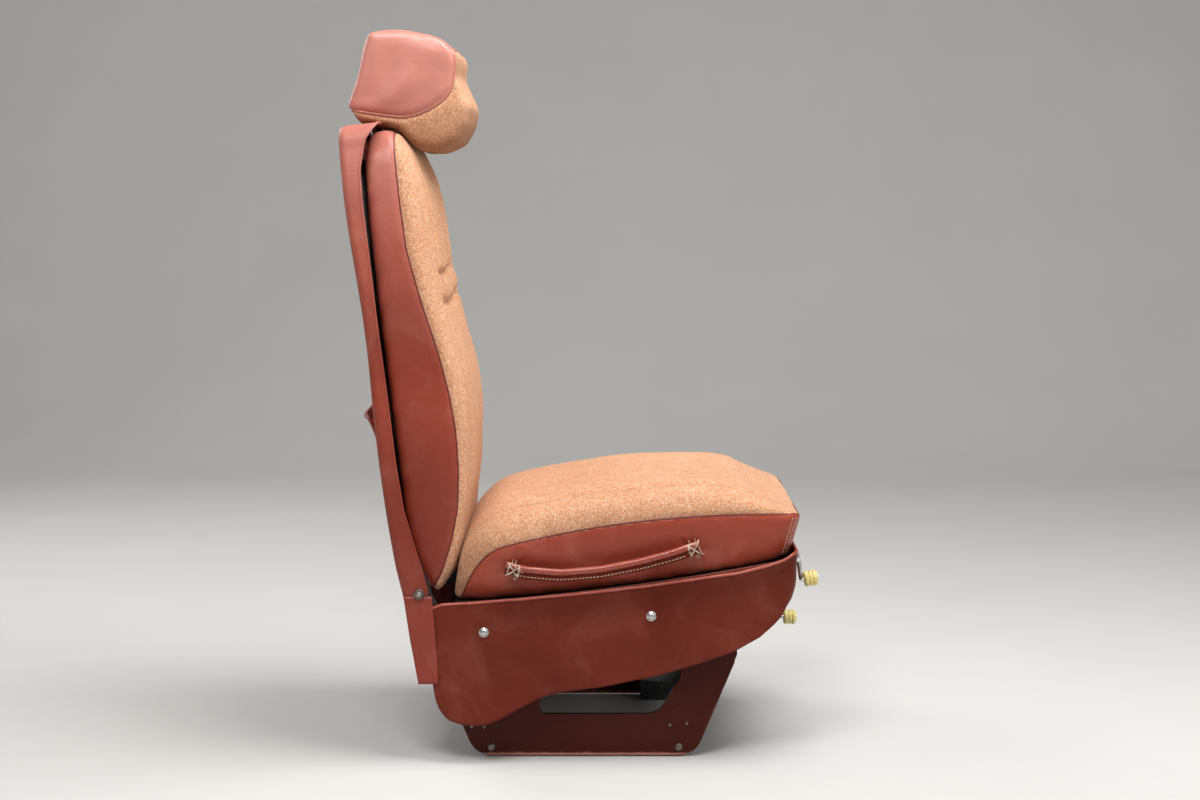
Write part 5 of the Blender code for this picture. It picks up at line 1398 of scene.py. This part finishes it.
class SEAT_OT_skirt(bpy.types.Operator):
    """Builds the skirt round the seat pan, its rolled hem and snaps"""
    bl_idname = "seat.skirt"
    bl_label = "Skirt"

    def execute(self, context):
        path = skirt_path()
        low, high = skirt_edges(path)
        v = np.linspace(0, 1, 33)[None, :]
        z = low[:, None] + (high - low)[:, None] * v
        tangent = np.gradient(path, axis=0)
        tangent /= np.linalg.norm(tangent, axis=1)[:, None]
        out = np.stack([tangent[:, 1], -tangent[:, 0]], 1)
        x, y = path[:, 0][:, None], path[:, 1][:, None]
        slack = 0.0030 * np.sin(math.pi * v) * bell(x, 0.03, 0.20) * (np.abs(y) > 0.2)
        wave = 0.0016 * np.sin(x * 34 + 7 * v + 0.6) * (1 - v) ** 1.2 * (np.abs(y) > 0.2)
        hang = (0.0135 * bell(x, -0.150, 0.080) + 0.0030) * (1 - v) ** 3.5 * ease(-x, -0.300, -0.240)
        hang = hang * ease(x, -0.234, -0.205)
        swell = slack + wave + hang + 0.0006 * np.sin(x * 90 + 40 * z)
        tuck = -0.0075 * (1 - v) ** 1.6 * ease(x, 0.292, 0.322)
        points = np.stack([x + out[:, 0][:, None] * swell + tuck, y + out[:, 1][:, None] * swell, z], -1)
        skirt = Skin().grid(points).made("skirt_leather", "Skirt leather")
        sheet(skirt, away_from(0.0), sizes().skirt_thickness, "Skirt leather", 0.0)
        # Painted shade in a band below the skirt's top edge, under the cushion.
        painted_shade(skirt, lambda p, out: 0.42 * bell(curve(SKIRT_TOP, p[:, 0], 0.004) - p[:, 2], 0.016, 0.026)
             * ease(p[:, 0], -0.20, -0.02))
        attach(skirt, "pan")
        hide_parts("skirt_right", "skirt_left", "skirt_front")
        hem = points[:, -1] + np.stack([out[:, 0], out[:, 1], 0 * low], 1) * 0.0006
        hem_piece = welt("skirt_hem", resampled(hem, 330), sizes().hem_radius, "Hem leather", None,
                         (0.0, 0.0, 1.0), sides=10)
        hem_piece.parent = skirt
        self.snaps()
        return {"FINISHED"}

    def snaps(self):
        """Domed snap caps: a turned profile in x, z round each centre."""
        profile = ((0.0, 0.0048), (0.0022, 0.0046), (0.0042, 0.0038), (0.0056, 0.0026), (0.0061, 0.0016),
                   (0.0066, 0.0015), (0.0074, 0.0013), (0.0078, 0.0007), (0.0078, -0.0004), (0.0, -0.0004))
        for side, sign in SIDES:
            skin = Skin()
            for spot in ((-0.154, 0.202), (0.101, 0.227)):
                turned(skin, profile, spot, 0.2480, sign, 32)
            snap = skin.made("skirt_snaps_" + side, "Nickel", None, merge=1e-6, outward=True)
            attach(snap, "pan")


APRON_Z = (0.123, 0.150, 0.190, 0.250, 0.262)
APRON_REAR = (-0.2535, -0.2585, -0.2655, -0.2745, -0.2765)
APRON_FRONT = (-0.2235, -0.2248, -0.2275, -0.2322, -0.2340)


class SEAT_OT_apron(bpy.types.Operator):
    """Builds the apron that hangs behind the pan, and the flaps from it up to the recline pivots"""
    bl_idname = "seat.apron"
    bl_label = "Apron"

    def execute(self, context):
        self.sling()
        u = np.linspace(0, 1, 13)
        v = np.linspace(0, 1, 25)[:, None]
        z = 0.1225 + (0.2574 - 0.1225) * v
        rear = np.interp(z, APRON_Z, APRON_REAR) - 0.0004
        x = rear + (np.interp(z, APRON_Z, APRON_FRONT) - rear) * u
        curl = 0.0012 * np.sin(z * 60 + 1) * (1 - v) - 0.0012 * u ** 4 * (1 - v)
        y = 0.2508 + curl - (0.0027 - 0.0014 * u) * ease(v, 0.55, 1.0)
        for side, sign in SIDES:
            flap = Skin().grid(np.stack([x, sign * y, z + 0 * u], -1)).made("apron_flap_" + side, "Cover leather")
            sheet(flap, towards(0.0, sign, 0.0), 0.0018, "Cover leather")
            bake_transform(flap)
        return {"FINISHED"}

    def sling(self):
        """U-shaped leather sheet: short sides tucked inside the flaps, quarter-round corners and a slack rear wall."""
        z = np.linspace(0.1235, 0.236, 21)
        rear = np.interp(z, APRON_Z, APRON_REAR)[:, None]
        front = np.interp(z, APRON_Z, APRON_FRONT)[:, None] - 0.004
        half, turn = 0.2468, 0.016
        side = front + (rear + turn - front) * np.linspace(0, 1, 8)[None, :-1]
        angle = np.linspace(0, math.pi / 2, 9)[None, :]
        corner = rear + turn - turn * np.sin(angle)
        width = half - turn
        across = np.linspace(-1, 0, 30)[None, 1:]
        slack = 0.0016 * np.sin(across * 14 + z[:, None] * 50) * (1 - across ** 8)
        x = np.concatenate([side, corner, rear - slack * (across < 0)], 1)
        y = np.concatenate([np.full_like(side, -half), -width - turn * np.cos(angle) + 0 * rear,
                            width * across + 0 * rear], 1)
        x, y = np.concatenate([x, x[:, -2::-1]], 1), np.concatenate([y, -y[:, -2::-1]], 1)
        sling = Skin().grid(np.stack([x, y, z[:, None] + 0 * x], -1)).made("apron_leather", "Cover leather")
        sheet(sling, away_from(-0.15), 0.0018, "Cover leather")
        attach(sling, "pan")
        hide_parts("rear_apron")


class SEAT_OT_straps(bpy.types.Operator):
    """Builds the two side straps with their piping roll, stitching and tacks"""
    bl_idname = "seat.straps"
    bl_label = "Side straps"

    def execute(self, context):
        route = resampled(STRAP_ROUTE, 90)
        x, z = route.T
        ends = np.minimum(x - x[0], x[-1] - x)
        off = 0.2362 + 0.0082 * ease(ends, 0.004, 0.040)
        for side, sign in SIDES:
            path = np.stack([x, sign * off, z], 1)
            turn_up = np.array((0.0, sign, 0.0))
            _, outward, upward = frames_along(path, turn_up)
            turn = np.sign(upward[:, 2:3])
            squeeze = (1 - 0.35 * (1 - ease(ends, 0.0, 0.018)))[:, None, None]
            roll = round_profile(0.0052, 14) * (1.0, 1.04) + (0.0016, 0.0062)
            flat = np.array([(0.0, 0.0030), (-0.0016, -0.0078), (-0.0008, -0.0090), (0.0008, -0.0090),
                             (0.0018, -0.0078), (0.0022, 0.0030)])
            pieces = []
            # The flat part is the darker leather with painted shade; the roll is lighter.
            for name, profile, finish in (("side_strap_", flat, "Skirt leather"),
                                          ("side_strap_roll_", roll, "Strap leather")):
                rings = (path[:, None] + profile[None, :, :1] * outward[:, None] * squeeze
                         + profile[None, :, 1:] * (upward * turn)[:, None])
                skin = Skin().grid(rings, close_columns=True, cap_rows=True)
                pieces.append(skin.made(name + side, finish, None, outward=True))
            strap, bead = pieces
            bead.parent = strap
            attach(strap, "pan")
            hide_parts("strap_" + side)
            seam = path + outward * 0.0021 + upward * turn * -0.0050
            first, last = stitch_ends(seam[6:-6], 0.0056, 0.0035)
            threads = stitching("side_strap_stitches_" + side, first, last, turn_up, None, 0.00055)
            threads.parent = strap
            self.tacks(side, sign, strap)
        return {"FINISHED"}

    def tacks(self, side, sign, strap):
        """Bar tacks that hold each end of the strap: two zigzag bars, a cross between them and stray ends of thread."""
        rng = np.random.default_rng(7)
        under = [surface(bpy.data.objects[name]) for name in ("seat_cushion_boxing", "side_strap_" + side,
                                                              "side_strap_roll_" + side)]
        starts, ends = [], []
        for cx, cz, tilt in ((-0.1085, 0.2955, -0.20), (0.1665, 0.3272, 0.28)):
            ct, st = math.cos(tilt), math.sin(tilt)
            steps = np.arange(12)
            bars = [np.stack([edge + 0.0016 * (-1.0) ** steps, -0.0105 + 0.021 * steps / 11], 1)
                    for edge in (-0.0078, 0.0078)]
            cross = [np.stack([np.linspace(-0.0075, 0.0075, 6), turn * np.linspace(-0.0088, 0.0088, 6)], 1)
                     for turn in (1, -1, 1, -1)]
            rails = [np.stack([np.linspace(-0.0085, 0.0085, 6), np.full(6, edge)], 1) for edge in (-0.0092, 0.0096)]
            angle = rng.uniform(0, 2 * math.pi, 9)
            strays = [np.stack([np.cos(a) * reach, np.sin(a) * reach * 1.2], 1)
                      for a, reach in zip(angle, np.linspace(0.006, 0.0135, 4) * rng.uniform(0.9, 1.2, (9, 1)))]
            for line in bars + cross + rails + strays:
                line = line + rng.normal(0, 0.0007, line.shape)
                flat = np.stack([cx + line[:, 0] * ct - line[:, 1] * st, sign * 0.30 + 0 * line[:, 0],
                                 cz + line[:, 0] * st + line[:, 1] * ct], 1)
                flat = landed(under, flat, (0.0, -sign, 0.0), 0.0003)
                starts.append(flat[:-1])
                ends.append(flat[1:])
        made = stitching("side_strap_tacks_" + side, np.vstack(starts), np.vstack(ends), (0.0, sign, 0.0), None, 0.0006)
        made.parent = strap


class SEAT_OT_fittings(bpy.types.Operator):
    """Builds the base panels' small bolts and worn rims, pale partly as a painted highlight, and the screws over the
    recline pivots
    """
    bl_idname = "seat.fittings"
    bl_label = "Fittings"

    def execute(self, context):
        spots = ((-0.144, 0.0135), (0.145, 0.0160), (0.131, 0.050), (0.157, 0.052), (-0.175, 0.047), (-0.156, 0.047))
        disc = ((0.0, 0.0009), (0.0036, 0.0009), (0.0041, 0.0005), (0.0041, -0.0002), (0.0, -0.0002))
        hexagon = ((0.0, 0.0034), (0.0024, 0.0034), (0.0028, 0.0030), (0.0028, 0.0009), (0.0, 0.0009))
        for side, sign in SIDES:
            face = abs(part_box("base_side_panel_" + side)[0 if sign < 0 else 1].y)
            washers, heads = Skin(), Skin()
            for number, spot in enumerate(spots):
                turned(washers, disc, spot, face, sign, 24)
                turned(heads, hexagon, spot, face, sign, 6, number * 0.7)
            washer = washers.made("panel_washers_" + side, "Base enamel", None, merge=1e-6, outward=True, smooth=False)
            head = heads.made("panel_bolts_" + side, "Old steel", None, merge=1e-6, outward=True, smooth=False)
            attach(washer, "base")
            head.parent = washer
            self.panel_rim(side, sign, face)
            self.pivot_screw(side, sign)
        return {"FINISHED"}

    def panel_rim(self, side, sign, face):
        """Rubbed bead round the outer edge of a base panel, carried as a tube; its pale colour is partly a painted
        highlight.

        It follows the convex hull of the panel's side view, below the pan. A point is on the hull when it is the
        furthest one in some direction."""
        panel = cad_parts["base_side_panel_" + side]
        stand = panel.matrix_world
        middle = (0.0, 0.09)
        spots = coordinates(panel.data) @ np.array(stand.to_3x3()).T + np.array(stand.translation)
        spots = spots[np.abs(spots[:, 1]) > face - 0.004][:, [0, 2]] - middle
        angle = np.linspace(0, 2 * math.pi, 720, endpoint=False)
        far = np.argmax(spots @ np.stack([np.cos(angle), np.sin(angle)]), axis=0)
        hull = spots[far][np.concatenate([[True], np.diff(far) != 0])]
        line = resampled(hull + middle, 500, closed=True, reach=3)
        line = line[line[:, 1] < 0.150]
        path = resampled(line[np.argsort(np.arctan2(line[:, 1] - 0.30, line[:, 0]))], 160)
        path = np.stack([path[:, 0], 0 * path[:, 0] + sign * (face - 0.0009), path[:, 1]], 1)
        # Pale worn enamel, partly a painted highlight along the edge.
        welt("panel_rim_" + side, path, 0.0013, "Worn enamel and painted highlight", "base", (0.0, sign, 0.0))

    def pivot_screw(self, side, sign):
        """Cup washer and round head over the recline pivot, both turned profiles."""
        low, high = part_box("back_pivot_bolt_" + side)
        face = max(abs(low.y), abs(high.y))
        cup = ((0.0, 0.0004), (0.0046, 0.0004), (0.0062, 0.0012), (0.0076, 0.0004), (0.0080, -0.0016), (0.0, -0.0016))
        dome = ((0.0, 0.0022), (0.0016, 0.0021), (0.0032, 0.0016), (0.0042, 0.0006), (0.0042, -0.0006), (0.0, -0.0006))
        for name, profile, finish in (("pivot_cup_", cup, "Old steel"), ("pivot_screw_", dome, "Turned steel")):
            skin = turned(Skin(), profile, (PIVOT_X, PIVOT_Z), face, sign)
            made = skin.made(name + side, finish, None, merge=1e-6, outward=True)
            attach(made, "back")


class SEAT_OT_finishes(bpy.types.Operator):
    """Makes the finishes and gives them to the frame's own pieces"""
    bl_idname = "seat.finishes"
    bl_label = "Finishes"

    def execute(self, context):
        leather_material("Leather", 1.02, 0.32, 0.38, 0.32)
        # Painted light falloff: deep low down as painted shade, pale towards the top as a painted highlight.
        leather_material("Back leather", 0.95, 0.30, 0.36, 0.36, 0.62)
        # Lighter copy of the leather with painted light falloff and painted shade at its foot: painted highlight and
        # shade on the hood.
        leather_material("Hood leather with painted light", 1.15, 0.45, 0.37, 0.60, 0.80, (0.975, 1.050))
        # Painted light falloff, as for the back leather.
        leather_material("Cover leather", 0.95, 0.45, 0.44, 0.34, 0.55)
        # Darker copy of the leather: painted shade on the skirt, the boxing flange and the straps' flat part.
        leather_material("Skirt leather", 0.44, 0.14, 0.44, 0.10)
        leather_material("Hem leather", 1.0, 0.60, 0.34, 0.45)
        leather_material("Strap leather", 1.0, 0.40, 0.30, 0.60)
        tweed_material("Tweed")
        thread_material()
        welt_material()
        enamel_material("Base enamel", 0.0)
        enamel_material("Worn enamel and painted highlight", 1.0)
        black_material()
        ivory_material()
        metal_material("Turned steel", "bare_steel", (0.46, 0.45, 0.43), 0.34, 0.2, (0.10, 0.08, 0.06))
        metal_material("Old steel", "bare_steel", (0.20, 0.17, 0.15), 0.45, 0.2, (0.06, 0.04, 0.03))
        metal_material("Chrome", "chrome_rod", (0.78, 0.78, 0.80), 0.10)
        metal_material("Nickel", "bare_steel", (0.56, 0.55, 0.54), 0.26)
        metal_material("Brass", "brass_metal", (0.60, 0.42, 0.17), 0.30, 0.2, (0.12, 0.07, 0.03))
        for name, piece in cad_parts.items():
            slot = piece.data.materials[0].name.split(".")[0] if piece.data.materials else "black_steel"
            finish = CAD_FINISHES.get(slot, "Black enamel")
            finish = "Base enamel" if name.endswith("tie") else "Old steel" if name.startswith("foot_bolt") else finish
            piece.data.materials.clear()
            piece.data.materials.append(bpy.data.materials[finish])
        return {"FINISHED"}


class SEAT_OT_stage(bpy.types.Operator):
    """Builds the floor, the soft lights, the world and the camera"""
    bl_idname = "seat.stage"
    bl_label = "Stage"

    def execute(self, context):
        tree, shader = material("Floor")
        tone = noise(tree, place(tree), 3.0, 2.0)
        base = ramp(tree, tone, (0.3, toned(colours().floor, 0.97)), (0.7, colours().floor))
        tree.links.new(base, shader.inputs["Base Color"])
        shader.inputs["Roughness"].default_value = 0.9
        self.one_sided(tree, shader)
        self.sweep()
        self.lamps()
        self.camera(context)
        return {"FINISHED"}

    def one_sided(self, tree, shader):
        """Lets the camera see through the sweep from outside, so that it hides nothing in a view from behind."""
        behind = node(tree, "ShaderNodeNewGeometry").outputs["Backfacing"]
        seen = node(tree, "ShaderNodeLightPath").outputs["Is Camera Ray"]
        clear = tree.nodes.new("ShaderNodeBsdfTransparent")
        blend = tree.nodes.new("ShaderNodeMixShader")
        tree.links.new(math_node(tree, "MULTIPLY", behind, seen), blend.inputs[0])
        tree.links.new(shader.outputs[0], blend.inputs[1])
        tree.links.new(clear.outputs[0], blend.inputs[2])
        output = next(n for n in tree.nodes if n.type == "OUTPUT_MATERIAL")
        tree.links.new(blend.outputs[0], output.inputs["Surface"])

    def sweep(self):
        """Floor that rises into a wall behind the seat through a quarter circle of radius 1.6 m."""
        turn = np.linspace(-math.pi / 2, 0, 24)
        y = np.concatenate([[-9.0, -4.0, 0.0, 1.6], 3.0 + 1.6 * np.cos(turn), [4.6]])
        z = np.concatenate([[0.0, 0.0, 0.0, 0.0], 1.6 + 1.6 * np.sin(turn), [9.0]])
        x = np.linspace(-9, 9, 12)
        points = np.stack(np.broadcast_arrays(x[:, None], y[None], z[None] - 0.0003), -1)
        floor = Skin().grid(points).made("floor", None)
        floor.data.materials.append(bpy.data.materials["Floor"])
        oriented(floor, lambda p: np.tile((0.0, -0.3, 1.0), (len(p), 1)))

    def lamps(self):
        """A soft key by the camera, a fill, a broad top light and one from the rear; the world fills the rest.

        Straight to the camera the world shows as grey as the far floor, so that no edge stands out from behind."""
        for name, spot, aim, size, power in (("Key", (-0.5, -1.9, 2.8), (-0.1, 0.0, 0.6), 1.1, 40.0),
                                             ("Fill", (2.2, -1.6, 1.6), (0.0, 0.0, 0.6), 1.2, 14.0),
                                             ("Top", (0.7, -0.4, 2.7), (0.0, 0.0, 0.5), 1.7, 62.0),
                                             ("Rear", (-2.0, 1.6, 2.0), (0.0, 0.0, 0.5), 1.4, 24.0)):
            data = bpy.data.lights.new(name, "AREA")
            data.shape = "DISK"
            data.size = size
            data.energy = power
            lamp = bpy.data.objects.new(name, data)
            bpy.context.scene.collection.objects.link(lamp)
            direction = np.asarray(aim) - np.asarray(spot)
            level = math.hypot(direction[0], direction[1])
            lamp.location = spot
            lamp.rotation_euler = (math.atan2(level, -direction[2]), 0.0,
                                   math.atan2(direction[1], direction[0]) - math.pi / 2)
        world = bpy.data.worlds.new("Studio")
        bpy.context.scene.world = world
        world.use_nodes = True
        background = world.node_tree.nodes["Background"]
        seen = node(world.node_tree, "ShaderNodeLightPath").outputs["Is Camera Ray"]
        sky = mixed(world.node_tree, seen, (0.95, 0.97, 1.0), (0.598, 0.596, 0.588))
        world.node_tree.links.new(sky, background.inputs["Color"])
        background.inputs["Strength"].default_value = 0.40

    def camera(self, context):
        data = bpy.data.cameras.new("Camera")
        data.lens = 68.0
        data.sensor_width = 36.0
        eye = bpy.data.objects.new("Camera", data)
        context.scene.collection.objects.link(eye)
        eye.location = (0.023, -3.645, 0.902)
        eye.rotation_euler = (math.radians(90 - 5.79), 0.0, 0.0)
        context.scene.camera = eye
        context.scene.view_settings.view_transform = "Standard"


OPERATORS = (SEAT_OT_finishes, SEAT_OT_stage, SEAT_OT_seat_cushion, SEAT_OT_back_cushion, SEAT_OT_headrest,
             SEAT_OT_back_cover, SEAT_OT_skirt, SEAT_OT_apron, SEAT_OT_straps, SEAT_OT_fittings)


class SEAT_PT_dressing(bpy.types.Panel):
    """Lists the seat's colours, sizes and builders."""
    bl_idname = "SEAT_PT_dressing"
    bl_label = "Seat dressing"
    bl_space_type = "VIEW_3D"
    bl_region_type = "UI"
    bl_category = "Seat"

    def draw(self, context):
        layout = self.layout
        for group in (context.scene.seat_colours, context.scene.seat_sizes):
            box = layout.box()
            for key in group.bl_rna.properties.keys():
                if key not in ("name", "rna_type"):
                    box.prop(group, key)
        for operator in OPERATORS:
            layout.operator(operator.bl_idname)


CLASSES = (SeatColours, SeatSizes) + OPERATORS + (SEAT_PT_dressing,)


def register():
    for item in CLASSES:
        bpy.utils.register_class(item)
    bpy.types.Scene.seat_colours = PointerProperty(type=SeatColours)
    bpy.types.Scene.seat_sizes = PointerProperty(type=SeatSizes)


def unregister():
    del bpy.types.Scene.seat_sizes
    del bpy.types.Scene.seat_colours
    for item in reversed(CLASSES):
        bpy.utils.unregister_class(item)


def main():
    """Builds everything in order."""
    register()
    for operator in OPERATORS:
        group, name = operator.bl_idname.split(".")
        getattr(getattr(bpy.ops, group), name)()


if __name__ == "__main__":
    main()
